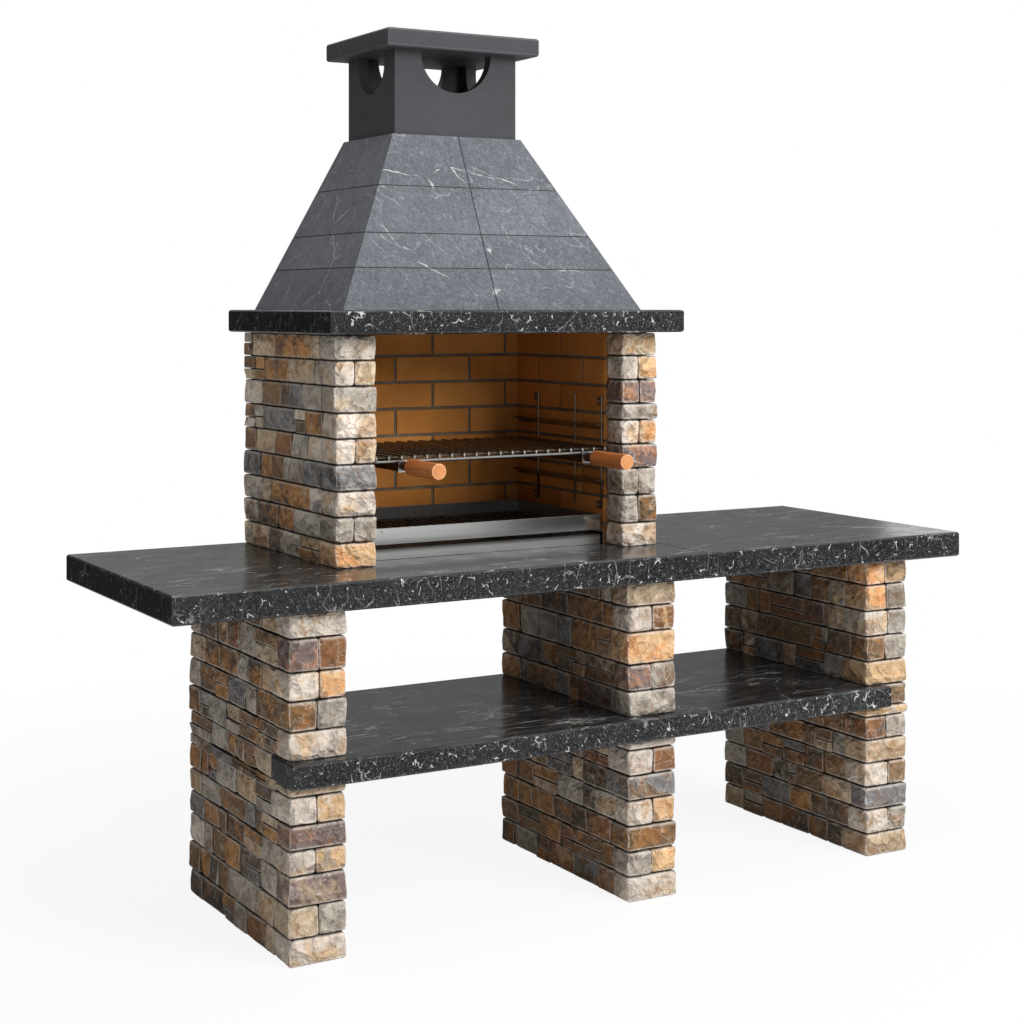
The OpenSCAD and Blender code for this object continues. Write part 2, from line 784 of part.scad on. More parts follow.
// Rack with upright rods, ledges and screw tabs, drawn on the left wall
module grill_rack(right) {
  color("silver") wall_side(right) difference() {
    union() {
      for (y = rack_rod_y)
        translate([wall_t + rack_rod / 2, y, worktop_h + rack_low])
          cylinder(d = rack_rod, h = rack_h);
      for (i = [0:ledge_count - 1]) {
        z = worktop_h + ledge_first + i * ledge_step;
        block([wall_t, lining_y0 + ledge_in, z - ledge_t], [wall_t + ledge_w, rack_y1, z]);
        block([wall_t, lining_y0 + ledge_in, z - ledge_flange], [wall_t + ledge_t, rack_y1, z]);
      }
      for (y = [rack_rod_y[0], rack_rod_y[2]]) for (z = rack_tab_z)
        translate([wall_t, y, worktop_h + z - tab_h / 2])
          cube([tab_t, tab_w, tab_h]);
    }
    rack_holes();
    rack_tab_holes();
  }
}

// Holes for the rack screws in the racks' tabs
module rack_tab_holes() {
  at_screws() translate([0, 0, -10]) cylinder(d = screw_d + 0.1, h = 12);
}

module left_grill_rack() {
  grill_rack(false);
}

module right_grill_rack() {
  grill_rack(true);
}

// Pan-head screws that hold the racks
module rack_screws() {
  color("silver") for (right = [false, true]) wall_side(right) at_screws() {
    translate([0, 0, -tab_t - 3]) cylinder(d = screw_head, h = 3);
    translate([0, 0, -tab_t - eps]) cylinder(d = screw_d, h = screw_l);
  }
}

// Rectangle of frame rods with welded corners
module grill_frame() {
  x0 = fire_xc - grill_half + frame_rod / 2;
  x1 = fire_xc + grill_half - frame_rod / 2;
  y0 = grill_y0 + frame_rod / 2;
  y1 = grill_y1 - frame_rod / 2;
  color("silver") {
    for (y = [y0, y1]) rod([x0, y, frame_z], [x1, y, frame_z], frame_rod);
    for (x = [x0, x1]) {
      rod([x, y0, frame_z], [x, y1, frame_z], frame_rod);
      for (y = [y0, y1]) translate([x, y, frame_z]) sphere(d = frame_rod);
    }
  }
}

// Front-to-back rods, bent down at both ends onto the frame
module grill_rods() {
  y0 = grill_y0 + frame_rod / 2;
  y1 = grill_y1 - frame_rod / 2;
  span = grill_w - 2 * frame_rod;
  foot = frame_z + frame_rod / 2;
  color("silver") for (i = [0:grate_rods - 1]) {
    x = fire_xc - span / 2 + span * i / (grate_rods - 1);
    rod([x, y0 - grate_rod / 2, grate_z], [x, y1 + grate_rod / 2, grate_z], grate_rod);
    for (y = [y0, y1]) rod([x, y, foot], [x, y, grate_z], grate_rod);
  }
}

// Cross rods under the front-to-back rods
module grill_cross_rods() {
  z = grate_z - grate_rod / 2 - cross_rod / 2;
  first = grill_y0 + frame_rod + 8;
  last = grill_y1 - frame_rod - 8;
  half = grill_half - frame_rod;
  color("silver") for (i = [0:cross_rods - 1]) {
    y = first + (last - first) * i / (cross_rods - 1);
    rod([fire_xc - half, y, z], [fire_xc + half, y, z], cross_rod);
  }
}

// Flat runner under the grate, threaded on the front and rear frame rods
module runner(x) {
  color("silver") difference() {
    union() {
      block([x - runner_w / 2, plate_y + eps, runner_z1 - runner_h],
            [x + runner_w / 2, grill_y1 + runner_nose, runner_z1]);
      block([x - runner_w / 2 - plate_rim, plate_y, runner_z1 - runner_h - plate_rim / 2],
            [x + runner_w / 2 + plate_rim, plate_y + plate_t, runner_z1]);
    }
    for (y = [grill_y0 + frame_rod / 2, grill_y1 - frame_rod / 2])
      rod([x - runner_w, y, frame_z], [x + runner_w, y, frame_z], frame_rod + 0.1);
  }
}

module left_runner() {
  runner(fire_xc - handle_x);
}

module right_runner() {
  runner(fire_xc + handle_x);
}

// Steel rods from the runners' end plates into the grips
module handle_shanks() {
  color("silver") for (s = [-1, 1]) {
    x = fire_xc + s * handle_x;
    rod([x, grip_y1 - shank_in, grip_z], [x, plate_y, grip_z], shank_d);
  }
}

// Dark ferrules on the shanks
module handle_ferrules() {
  color("dimgray") for (s = [-1, 1]) {
    x = fire_xc + s * handle_x;
    difference() {
      rod([x, grip_y1, grip_z], [x, plate_y, grip_z], ferrule_d);
      rod([x, grip_y1 - 1, grip_z], [x, plate_y + 1, grip_z], shank_d + 0.1);
    }
  }
}

// Turned wooden grip with rounded ends and a blind bore
module grip(x) {
  r = grip_d / 2;
  e = 3;
  color("peru") translate([x, grip_y1, grip_z]) rotate([90, 0, 0]) difference() {
    rotate_extrude() polygon(concat(
      [[0, 0]],
      [for (a = [0:15:90]) [r - e + e * sin(a), e - e * cos(a)]],
      [for (a = [90:-15:0]) [r - e + e * sin(a), grip_l - e + e * cos(a)]],
      [[0, grip_l]]));
    translate([0, 0, -1]) cylinder(d = shank_d + 0.1, h = shank_in + 2);
  }
}

module left_grip() {
  grip(fire_xc - handle_x);
}

module right_grip() {
  grip(fire_xc + handle_x);
}

// Open tray with a flanged rim and an open, ledged floor
module charcoal_tray() {
  x0 = fire_xc - tray_half;
  x1 = fire_xc + tray_half;
  y1 = tray_y0 + tray_d;
  z1 = tray_z0 + tray_h;
  t = sheet_t;
  color("silver") difference() {
    block([x0, tray_y0, tray_z0], [x1, y1, z1]);
    block([x0 + t, tray_y0 + t, tray_z0 + t], [x1 - t, y1 - t, z1 + 1]);
    block([x0 + tray_ledge, tray_y0 + tray_ledge, tray_z0 - 1],
          [x1 - tray_ledge, y1 - tray_ledge, z1 + 1]);
    at_rivets() translate([0, 0, -5]) cylinder(d = rivet_d + 0.1, h = 10);
  }
}

// Slotted grate resting on the tray's floor ledge
module charcoal_grate() {
  t = sheet_t + 1;
  x0 = fire_xc - tray_half + t;
  x1 = fire_xc + tray_half - t;
  y0 = tray_y0 + t;
  y1 = tray_y0 + tray_d - t;
  z0 = tray_z0 + sheet_t;
  edge = tray_ledge + 6;
  rib = 12;
  pitch = (x1 - x0 - 2 * edge) / grate_slots;
  slot_l = (y1 - y0 - 2 * edge - rib) / 2;
  color("dimgray") difference() {
    block([x0, y0, z0], [x1, y1, z0 + grate_t]);
    for (i = [0:grate_slots - 1]) for (k = [0, 1]) {
      x = x0 + edge + pitch * (i + 0.25);
      y = y0 + edge + k * (slot_l + rib);
      block([x, y, z0 - 1], [x + pitch / 2, y + slot_l, z0 + grate_t + 1]);
    }
  }
}

// Runs its children at every rivet place, axis pointing out of the tray
module at_rivets() {
  for (s = [-1, 1]) {
    x = fire_xc + s * (tray_half - rivet_in);
    z = tray_z0 + tray_h - rivet_down;
    translate([x, tray_y0, z]) rotate([90, 0, 0]) children();
    translate([x, tray_y0 + tray_d, z]) rotate([-90, 0, 0]) children();
  }
}

module tray_rivets() {
  color("silver") at_rivets() {
    cylinder(d = 1.8 * rivet_d, h = 1.5);
    translate([0, 0, -sheet_t - 1]) cylinder(d = rivet_d, h = sheet_t + 1 + eps);
  }
}

// Shallow drawer on the worktop under the tray
module ash_drawer() {
  x0 = fire_xc - tray_half + sheet_t;
  x1 = fire_xc + tray_half - sheet_t;
  t = sheet_t;
  color("silver") difference() {
    block([x0, drawer_y0, drawer_z0], [x1, drawer_y0 + drawer_d, drawer_z0 + drawer_h]);
    block([x0 + t, drawer_y0 + t, drawer_z0 + t],
          [x1 - t, drawer_y0 + drawer_d - t, drawer_z0 + drawer_h + 1]);
  }
}

// Angle rail standing on the worktop against the lining
module tray_rail(right) {
  color("silver") wall_side(right) {
    block([wall_t, lining_y0 + rail_in, worktop_h],
          [wall_t + sheet_t, rear_face_y, tray_z0 - run_gap]);
    block([wall_t, lining_y0 + rail_in, tray_z0 - run_gap - sheet_t],
          [wall_t + rail_w, rear_face_y, tray_z0 - run_gap]);
  }
}

module left_tray_rail() {
  tray_rail(false);
}

module right_tray_rail() {
  tray_rail(true);
}

left_leg_core();
left_leg_stones();
middle_leg_core();
middle_leg_stones();
right_leg_core();
right_leg_stones();
left_shelf_slab();
right_shelf_slab();
left_worktop_slab();
right_worktop_slab();
worktop_dowels();
left_wall_core();
right_wall_core();
left_wall_stones();
right_wall_stones();
rear_wall_panel();
left_firebricks();
right_firebricks();
rear_firebricks();
left_mortar();
right_mortar();
rear_mortar();
mantel_slab();
hood_shell();
hood_front_tiles();
hood_right_tiles();
hood_rear_tiles();
hood_left_tiles();
chimney_box();
chimney_cap();
left_grill_rack();
right_grill_rack();
rack_screws();
grill_frame();
grill_rods();
grill_cross_rods();
left_runner();
right_runner();
handle_shanks();
handle_ferrules();
left_grip();
right_grip();
charcoal_tray();
charcoal_grate();
tray_rivets();
ash_drawer();
left_tray_rail();
right_tray_rail();
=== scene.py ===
"""Masonry barbecue: stone legs, marble slabs, a brick-lined firebox with its racks, grill,
charcoal tray and ash drawer, a slate hood and a painted chimney."""
import math
import random

import bmesh
import bpy
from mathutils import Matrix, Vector, noise


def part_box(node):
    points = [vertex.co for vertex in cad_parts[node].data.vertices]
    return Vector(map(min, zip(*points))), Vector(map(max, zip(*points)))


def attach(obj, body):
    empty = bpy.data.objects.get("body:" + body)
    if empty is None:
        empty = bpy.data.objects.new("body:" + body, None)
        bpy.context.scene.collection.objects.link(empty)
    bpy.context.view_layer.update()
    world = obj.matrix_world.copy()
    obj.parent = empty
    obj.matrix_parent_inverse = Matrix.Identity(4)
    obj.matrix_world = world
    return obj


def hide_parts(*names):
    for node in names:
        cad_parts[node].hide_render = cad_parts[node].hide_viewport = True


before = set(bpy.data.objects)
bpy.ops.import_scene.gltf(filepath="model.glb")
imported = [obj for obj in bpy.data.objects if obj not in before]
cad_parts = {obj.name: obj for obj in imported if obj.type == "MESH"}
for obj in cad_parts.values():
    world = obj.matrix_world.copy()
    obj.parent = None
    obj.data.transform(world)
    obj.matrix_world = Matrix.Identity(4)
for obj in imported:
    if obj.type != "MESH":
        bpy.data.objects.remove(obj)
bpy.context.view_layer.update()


# Colours

def tint(red, green, blue):
    """Linear colour from the 0 to 255 values of a paint chart"""
    def linear(c):
        c /= 255
        return c / 12.92 if c <= 0.04045 else ((c + 0.055) / 1.055) ** 2.4
    return (linear(red), linear(green), linear(blue))


# Cladding stones by letter: main colour and the colour of the patches in it
STONES = {
    "c": ((222, 209, 194), (204, 174, 140)),
    "t": ((200, 178, 150), (172, 136, 100)),
    "o": ((222, 184, 140), (226, 160, 104)),
    "a": ((180, 132, 84), (126, 104, 88)),
    "r": ((152, 108, 76), (118, 104, 96)),
    "b": ((136, 110, 84), (170, 120, 72)),
    "p": ((134, 116, 112), (180, 132, 102)),
    "g": ((184, 175, 162), (150, 136, 120)),
    "s": ((136, 134, 133), (100, 96, 92)),
    "k": ((104, 92, 82), (156, 112, 72)),
}


# Finishes

class Finish:
    """A node material built up in plain steps from object coordinates"""

    def __init__(self, name, colour, roughness, metallic=0.0, specular=0.5):
        self.material = bpy.data.materials.new(name)
        self.material.use_nodes = True
        self.tree = self.material.node_tree
        self.shader = self.tree.nodes["Principled BSDF"]
        self.shader.inputs["Base Color"].default_value = (*colour, 1)
        self.shader.inputs["Roughness"].default_value = roughness
        self.shader.inputs["Metallic"].default_value = metallic
        self.shader.inputs["Specular IOR Level"].default_value = specular
        self.place = self.add("ShaderNodeTexCoord").outputs["Object"]

    def add(self, kind, **settings):
        """New node of a kind, with its settings"""
        node = self.tree.nodes.new(kind)
        for key, value in settings.items():
            setattr(node, key, value)
        return node

    def feed(self, socket, value):
        """Gives a socket a constant, a colour or another node's output"""
        if isinstance(value, bpy.types.NodeSocket):
            self.tree.links.new(value, socket)
        elif isinstance(value, tuple) and len(socket.default_value) == 4:
            socket.default_value = (*value[:3], 1)
        else:
            socket.default_value = value

    def scaled(self, x, y, z, turn=(0, 0, 0)):
        """Object coordinates stretched along the axes, then turned"""
        node = self.add("ShaderNodeMapping")
        self.feed(node.inputs["Vector"], self.place)
        node.inputs["Scale"].default_value = (x, y, z)
        node.inputs["Rotation"].default_value = turn
        return node.outputs["Vector"]

    def noise(self, scale, detail=3, rough=0.5, distortion=0.0, at=None):
        """Cloudy noise between 0 and 1"""
        node = self.add("ShaderNodeTexNoise")
        self.feed(node.inputs["Vector"], at or self.place)
        node.inputs["Scale"].default_value = scale
        node.inputs["Detail"].default_value = detail
        node.inputs["Roughness"].default_value = rough
        node.inputs["Distortion"].default_value = distortion
        return node.outputs["Fac"]

    def cells(self, scale, feature="F1", at=None, metric="EUCLIDEAN"):
        """Pattern of irregular cells"""
        node = self.add("ShaderNodeTexVoronoi", feature=feature)
        if feature != "DISTANCE_TO_EDGE":
            node.distance = metric
        self.feed(node.inputs["Vector"], at or self.place)
        node.inputs["Scale"].default_value = scale
        return node

    def bent(self, scale, reach, at=None):
        """Coordinates pushed about by a soft noise, up to the reach in metres"""
        push = self.add("ShaderNodeTexNoise")
        self.feed(push.inputs["Vector"], at or self.place)
        push.inputs["Scale"].default_value = scale
        push.inputs["Detail"].default_value = 4
        node = self.add("ShaderNodeVectorMath", operation="MULTIPLY_ADD")
        self.feed(node.inputs[0], push.outputs["Color"])
        node.inputs[1].default_value = (2 * reach, 2 * reach, 2 * reach)
        self.feed(node.inputs[2], at or self.place)
        return node.outputs["Vector"]

    def stretched(self, turn, lengths):
        """Object coordinates whose pattern is drawn out along turned axes"""
        node = self.add("ShaderNodeMapping", vector_type="TEXTURE")
        self.feed(node.inputs["Vector"], self.place)
        node.inputs["Rotation"].default_value = turn
        node.inputs["Scale"].default_value = lengths
        return node.outputs["Vector"]

    def veins(self, scale, width, at=None):
        """Net of thin lines, 1 along the middle of a line"""
        edge = self.cells(scale, "DISTANCE_TO_EDGE", at).outputs["Distance"]
        return self.between(edge, 0.0, width, 1.0, 0.0)

    def patches(self, scale, low, high):
        """Soft patches of a noise, 1 inside them"""
        return self.between(self.noise(scale, 3, 0.55), low, high)

    def red_of(self, colour):
        """Red share of a colour"""
        node = self.add("ShaderNodeSeparateColor")
        self.feed(node.inputs[0], colour)
        return node.outputs[0]

    def times(self, *values):
        """Product of shares"""
        out = values[0]
        for value in values[1:]:
            out = self.sum("MULTIPLY", out, value)
        return out

    def between(self, value, low, high, to_low=0.0, to_high=1.0):
        """Value carried from one range to another, held at its ends"""
        node = self.add("ShaderNodeMapRange", clamp=True)
        self.feed(node.inputs["Value"], value)
        for key, number in zip(("From Min", "From Max", "To Min", "To Max"),
                               (low, high, to_low, to_high)):
            node.inputs[key].default_value = number
        return node.outputs["Result"]

    def sum(self, operation, a, b=0.0):
        """Two values joined by the named operation"""
        node = self.add("ShaderNodeMath", operation=operation)
        self.feed(node.inputs[0], a)
        self.feed(node.inputs[1], b)
        return node.outputs[0]

    def line(self, value, width):
        """1 along the middle of a noise, falling to 0 within the width"""
        off = self.sum("ABSOLUTE", self.sum("SUBTRACT", value, 0.5))
        return self.between(off, 0.0, width, 1.0, 0.0)

    def mix(self, share, a, b, blend="MIX"):
        """Colour a with a share of colour b laid over it"""
        node = self.add("ShaderNodeMix", data_type="RGBA", blend_type=blend)
        self.feed(node.inputs[0], share)
        self.feed(node.inputs[6], a)
        self.feed(node.inputs[7], b)
        return node.outputs[2]

    def toned(self, body, share):
        """Colour made darker or lighter by a share"""
        return self.mix(1.0, body, share, "MULTIPLY")

    def wear_and_highlight(self, share, body, colour):
        """Colour with a share of another one along the middle of rounded edges: part wear, part
        painted highlight
        """
        return self.mix(self.times(self.attribute("rim", "Fac"), share), body, colour)

    def height(self):
        """Height of a point over the floor"""
        node = self.add("ShaderNodeSeparateXYZ")
        self.feed(node.inputs[0], self.place)
        return node.outputs["Z"]

    def attribute(self, name, output):
        """Colour or share that the mesh gives to each point"""
        return self.add("ShaderNodeAttribute", attribute_name=name).outputs[output]

    def colour(self, value):
        self.feed(self.shader.inputs["Base Color"], value)

    def roughness(self, value):
        self.feed(self.shader.inputs["Roughness"], value)

    def bump(self, height, distance):
        """Relief of the given depth in metres"""
        node = self.add("ShaderNodeBump")
        self.feed(node.inputs["Height"], height)
        node.inputs["Distance"].default_value = distance
        node.inputs["Strength"].default_value = 1.0
        self.feed(self.shader.inputs["Normal"], node.outputs["Normal"])


def cladding_stone():
    """Split sandstone: chiselled chips with painted shade in their hollows and a painted highlight on
    their ridges, clouds of a second colour, brown creases, pale veins, rounded edges lighter as
    part wear and part painted highlight, and painted shade between the stones"""
    f = Finish("cladding_stone", tint(160, 140, 120), 0.85, specular=0.25)
    rock = f.bent(18, 0.016, f.scaled(1, 1, 1.15, (0.5, 0.3, 0.8)))
    patch = f.times(f.between(f.noise(14, 5, 0.6, 1.0), 0.48, 0.6), 0.9)
    body = f.mix(patch, f.attribute("main_colour", "Color"), f.attribute("patch_colour", "Color"))
    chips = f.cells(30, "F1", rock, "MANHATTAN")
    hollow = chips.outputs["Distance"]
    ridge = f.sum("SUBTRACT", f.cells(30, "F2", rock, "MANHATTAN").outputs["Distance"], hollow)
    each = f.between(f.red_of(chips.outputs["Color"]), 0.0, 1.0, 0.84, 1.14)
    # Painted shade: the hollows of the chips darker
    each = f.times(each, f.between(hollow, 0.05, 0.6, 0.84, 1.08))
    cloud = f.between(f.noise(46, 6, 0.65, 0.8), 0.3, 0.7, 0.8, 1.16)
    grain = f.between(f.noise(420, 3, 0.6), 0.3, 0.7, 0.88, 1.1)
    body = f.toned(body, f.times(each, cloud, grain))
    crease = f.times(f.veins(21, 0.05, rock), f.patches(19, 0.46, 0.6), 0.6)
    body = f.mix(crease, body, tint(140, 92, 52))
    pale = f.times(f.veins(33, 0.05, f.bent(30, 0.01)), f.patches(26, 0.52, 0.62), 0.28)
    body = f.mix(pale, body, tint(232, 224, 212))
    # Painted highlight along the ridges between the chips
    painted_ridge_highlight = f.times(f.between(ridge, 0.0, 0.07, 1.0, 0.0), f.patches(31, 0.46, 0.58), 0.42)
    body = f.mix(painted_ridge_highlight, body, tint(236, 226, 212))
    # Rounded edges lighter: part wear, part painted highlight
    body = f.wear_and_highlight(0.5, body, tint(236, 228, 218))
    # Painted shade between the stones, darker further in from the face
    f.colour(f.toned(body, f.between(f.attribute("joint", "Fac"), 0.0, 1.0, 1.0, 0.28)))
    f.roughness(f.between(f.noise(60, 4), 0.3, 0.7, 0.66, 0.9))
    splinters = f.times(f.cells(75, "F1", rock, "MANHATTAN").outputs["Distance"], 0.18)
    coarse = f.sum("ADD", f.sum("ADD", hollow, splinters), f.times(f.noise(48, 5, 0.5, 1.2), 0.55))
    f.bump(f.sum("ADD", coarse, f.times(f.noise(320, 4, 0.7), 0.05)), 0.0105)
    return f.material


def black_marble(name, specular, streaks=0.0, flecks=0.0):
    """Polished black marble: streaks run along its tops, flecks and white chips lie on cut edges"""
    f = Finish(name, tint(30, 30, 32), 0.2, specular=specular)
    cloud = f.between(f.noise(7, 6, 0.62, 0.6), 0.35, 0.68)
    body = f.mix(cloud, tint(17, 17, 18), tint(30, 31, 33))
    if flecks:
        mottle = f.between(f.noise(190, 6, 0.8, 1.2), 0.46, 0.68)
        body = f.mix(f.times(mottle, 0.62 * flecks), body, tint(82, 84, 86))
        curl = f.times(f.veins(80, 0.05, f.bent(90, 0.009)), f.patches(80, 0.55, 0.62))
        body = f.mix(f.times(curl, 0.3 * flecks), body, tint(176, 176, 174))
        nick = f.between(f.noise(330, 2, 0.5, 0.8), 0.67, 0.7)
        body = f.mix(f.times(nick, 0.6 * flecks), body, tint(204, 203, 200))
        chip = f.times(f.veins(34, 0.045, f.bent(45, 0.012)), f.patches(44, 0.58, 0.61))
        body = f.mix(f.times(chip, 0.85 * flecks), body, tint(226, 225, 222))
        line = f.times(f.veins(9, 0.008, f.bent(9, 0.014)), f.patches(19, 0.54, 0.6))
        body = f.mix(f.times(line, 0.45 * flecks), body, tint(200, 199, 196))
    if streaks:
        haze = f.between(f.noise(70, 6, 0.75, 0.5, f.stretched((0, 0, 0.08), (12, 1, 1))), 0.46, 0.66)
        body = f.mix(f.times(haze, 0.6 * streaks), body, tint(92, 92, 94))
        threads = ((-0.1, 11, 0.006), (0.16, 16, 0.007), (-0.7, 5, 0.0025), (0.6, 4, 0.002))
        for turn, scale, width in threads:
            flow = f.noise(scale, 3, 0.45, 0.4, f.stretched((0, 0, turn), (6, 1, 1)))
            thread = f.times(f.line(flow, width), f.patches(8, 0.46, 0.6))
            body = f.mix(f.times(thread, 0.8 * streaks), body, tint(196, 195, 192))
    hair = f.times(f.veins(12, 0.011, f.bent(16, 0.04, f.scaled(1, 1, 0.45))), f.patches(10, 0.5, 0.6))
    body = f.mix(f.times(hair, 0.5), body, tint(184, 182, 178))
    # Rounded edges lighter: part wear, part painted highlight
    f.colour(f.wear_and_highlight(0.2, body, tint(140, 140, 140)))
    f.roughness(f.between(f.noise(14, 4), 0.3, 0.7, 0.16, 0.26))
    f.bump(f.noise(40, 1), 0.0002)
    return f.material


def hood_slate():
    """Riven blue-grey slate with a fine hair of pale marks and a few white veins"""
    f = Finish("hood_slate", tint(90, 94, 100), 0.5, specular=0.3)
    cloud = f.between(f.noise(9, 6, 0.65, 0.6), 0.3, 0.7)
    body = f.mix(cloud, tint(101, 104, 110), tint(118, 121, 128))
    body = f.toned(body, f.between(f.attribute("tone", "Fac"), 0, 1, 0.92, 1.06))
    steep = f.stretched((0, 0.95, 0), (2.6, 1, 1))
    riven = f.noise(105, 6, 0.74, 2.0, steep)
    body = f.toned(body, f.between(riven, 0.36, 0.64, 0.66, 1.36))
    hair = f.times(f.veins(70, 0.05, f.bent(60, 0.012, steep)), f.patches(60, 0.5, 0.58), 0.34)
    body = f.mix(hair, body, tint(190, 193, 198))
    slant = f.stretched((0, 0.55, 0), (2.8, 1, 1))
    thread = f.times(f.veins(15, 0.017, f.bent(26, 0.018, slant)), f.patches(10, 0.5, 0.6), 0.6)
    body = f.mix(thread, body, tint(200, 202, 206))
    vein = f.times(f.veins(5.5, 0.008, f.bent(30, 0.014, slant)), f.patches(8, 0.54, 0.58), 0.95)
    body = f.mix(vein, body, tint(232, 232, 230))
    # Rounded edges lighter: part wear, part painted highlight
    f.colour(f.wear_and_highlight(0.2, body, tint(140, 144, 150)))
    f.roughness(f.between(f.noise(25, 4), 0.3, 0.7, 0.42, 0.58))
    f.bump(f.sum("ADD", riven, f.times(f.noise(260, 5, 0.65), 0.3)), 0.006)
    return f.material


def painted_concrete():
    """Dark grey paint over cast concrete"""
    f = Finish("painted_concrete", tint(58, 60, 63), 0.6, specular=0.4)
    body = f.mix(f.between(f.noise(6, 5), 0.3, 0.7), tint(62, 63, 65), tint(67, 68, 71))
    body = f.toned(body, f.between(f.noise(240, 3), 0.3, 0.7, 0.9, 1.1))
    # Rounded edges lighter: part wear, part painted highlight
    f.colour(f.wear_and_highlight(0.35, body, tint(150, 152, 155)))
    f.roughness(f.between(f.noise(30, 4), 0.3, 0.7, 0.5, 0.68))
    f.bump(f.noise(320, 4, 0.6), 0.0007)
    return f.material


def bare_concrete():
    """Pale cast concrete with small air holes, painted darker as the shade in them"""
    f = Finish("bare_concrete", tint(150, 148, 144), 0.9, specular=0.2)
    body = f.mix(f.between(f.noise(5, 6, 0.6), 0.3, 0.7), tint(132, 130, 126), tint(168, 166, 161))
    hole = f.between(f.cells(38).outputs["Distance"], 0.05, 0.11, 1.0, 0.0)
    hole = f.times(hole, f.between(f.noise(19, 2), 0.52, 0.6))
    # Painted shade in the air holes
    body = f.mix(f.times(hole, 0.6), body, tint(92, 90, 86))
    f.colour(f.toned(body, f.between(f.noise(260, 4), 0.3, 0.7, 0.88, 1.1)))
    f.bump(f.sum("SUBTRACT", f.noise(180, 5, 0.6), hole), 0.0012)
    return f.material


def firebrick():
    """Orange brick with soot clouds, darker at its foot, and fine dark and pale specks"""
    f = Finish("firebrick", tint(204, 136, 70), 0.88, specular=0.2)
    body = f.mix(f.between(f.attribute("tone", "Fac"), 0, 1), tint(194, 124, 58), tint(222, 152, 80))
    soot = f.between(f.noise(6, 5, 0.6, 0.4), 0.35, 0.7, 0.78, 1.06)
    foot = f.between(f.height(), 0.9, 0.98, 0.45, 1.0)
    body = f.toned(body, f.times(soot, foot))
    speck = f.times(f.between(f.noise(360, 3, 0.7), 0.56, 0.66), 0.35)
    body = f.mix(speck, body, tint(120, 66, 36))
    pale = f.times(f.between(f.noise(210, 3, 0.7), 0.6, 0.7), 0.35)
    f.colour(f.mix(pale, body, tint(236, 186, 120)))
    f.bump(f.noise(240, 5, 0.65), 0.001)
    return f.material


def brick_mortar(name, dark, light):
    """Sandy mortar between two tones"""
    f = Finish(name, light, 0.92, specular=0.2)
    body = f.mix(f.between(f.noise(18, 5), 0.3, 0.7), dark, light)
    f.colour(f.toned(body, f.between(f.noise(420, 3), 0.3, 0.7, 0.82, 1.15)))
    f.bump(f.noise(380, 4, 0.7), 0.0012)
    return f.material


def steel(name, colour, roughness, brushed=None, shaded=None):
    """Steel with fine wear, and rounded edges lighter as part wear and part painted highlight.

    brushed gives the stretch of its lines, shaded the heights from which and to which a
    painted shadow turns it dark."""
    f = Finish(name, colour, roughness, metallic=1.0)
    dark = tuple(c * (0.88 if brushed else 0.78) for c in colour)
    lines = f.noise(30, 1, 0.5, at=f.scaled(*brushed)) if brushed else f.noise(160, 4, 0.6)
    body = f.mix(f.between(lines, 0.3, 0.7), dark, colour)
    # Rounded edges lighter: part wear, part painted highlight
    body = f.wear_and_highlight(0.6, body, tint(232, 232, 230))
    if shaded:
        # Painted shadow: darker from the lower height up to the higher one and above it
        body = f.mix(f.between(f.height(), *shaded, 0.0, 0.85), body, tint(40, 38, 36))
    f.colour(body)
    if not brushed:
        f.roughness(f.between(f.noise(22, 5, 0.6), 0.3, 0.7, roughness * 0.75, roughness * 1.35))
        f.bump(lines, 0.00012)
    return f.material


def grate_iron():
    """Sooted cast iron"""
    f = Finish("grate_iron", tint(54, 52, 50), 0.6, metallic=0.7)
    body = f.mix(f.between(f.noise(20, 5), 0.35, 0.7), tint(40, 39, 38), tint(72, 67, 62))
    f.colour(body)
    f.roughness(f.between(f.noise(60, 4), 0.3, 0.7, 0.45, 0.75))
    f.bump(f.noise(300, 4, 0.6), 0.0005)
    return f.material


def beech_wood():
    """Oiled beech with its grain along Y, pores, and a paler end grain"""
    f = Finish("beech_wood", tint(196, 124, 70), 0.42, specular=0.4)
    rings = f.noise(90, 4, 0.55, 0.8, f.scaled(1, 0.05, 1))
    body = f.mix(f.between(rings, 0.3, 0.7), tint(164, 90, 44), tint(204, 128, 70))
    pores = f.between(f.noise(420, 3, 0.6, at=f.scaled(1, 0.06, 1)), 0.6, 0.68)
    body = f.mix(f.times(pores, 0.5), body, tint(104, 56, 28))
    body = f.mix(f.times(f.attribute("end_grain", "Fac"), 0.35), body, tint(226, 172, 118))
    # Rounded edges lighter: part wear, part painted highlight
    f.colour(f.wear_and_highlight(0.5, body, tint(240, 204, 160)))
    f.roughness(f.between(rings, 0.3, 0.7, 0.34, 0.5))
    f.bump(pores, -0.0002)
    return f.material


# Shaping


def merged(node):
    """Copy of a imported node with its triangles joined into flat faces"""
    bm = bmesh.new()
    bm.from_mesh(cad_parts[node].data)
    bmesh.ops.remove_doubles(bm, verts=bm.verts[:], dist=0.00002)
    bmesh.ops.dissolve_limit(bm, angle_limit=math.radians(1), use_dissolve_boundaries=False,
                             verts=bm.verts[:], edges=bm.edges[:])
    return bm


def solids(node):
    """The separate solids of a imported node, each as a bmesh"""
    whole = merged(node)
    whole.verts.index_update()
    seen = set()
    found = []
    for start in whole.verts:
        if start.index in seen:
            continue
        seen.add(start.index)
        group = [start]
        for v in group:
            for e in v.link_edges:
                other = e.other_vert(v)
                if other.index not in seen:
                    seen.add(other.index)
                    group.append(other)
        kept = {v.index for v in group}
        solid = whole.copy()
        solid.verts.index_update()
        others = [v for v in solid.verts if v.index not in kept]
        bmesh.ops.delete(solid, geom=others, context="VERTS")
        found.append(solid)
    whole.free()
    return found


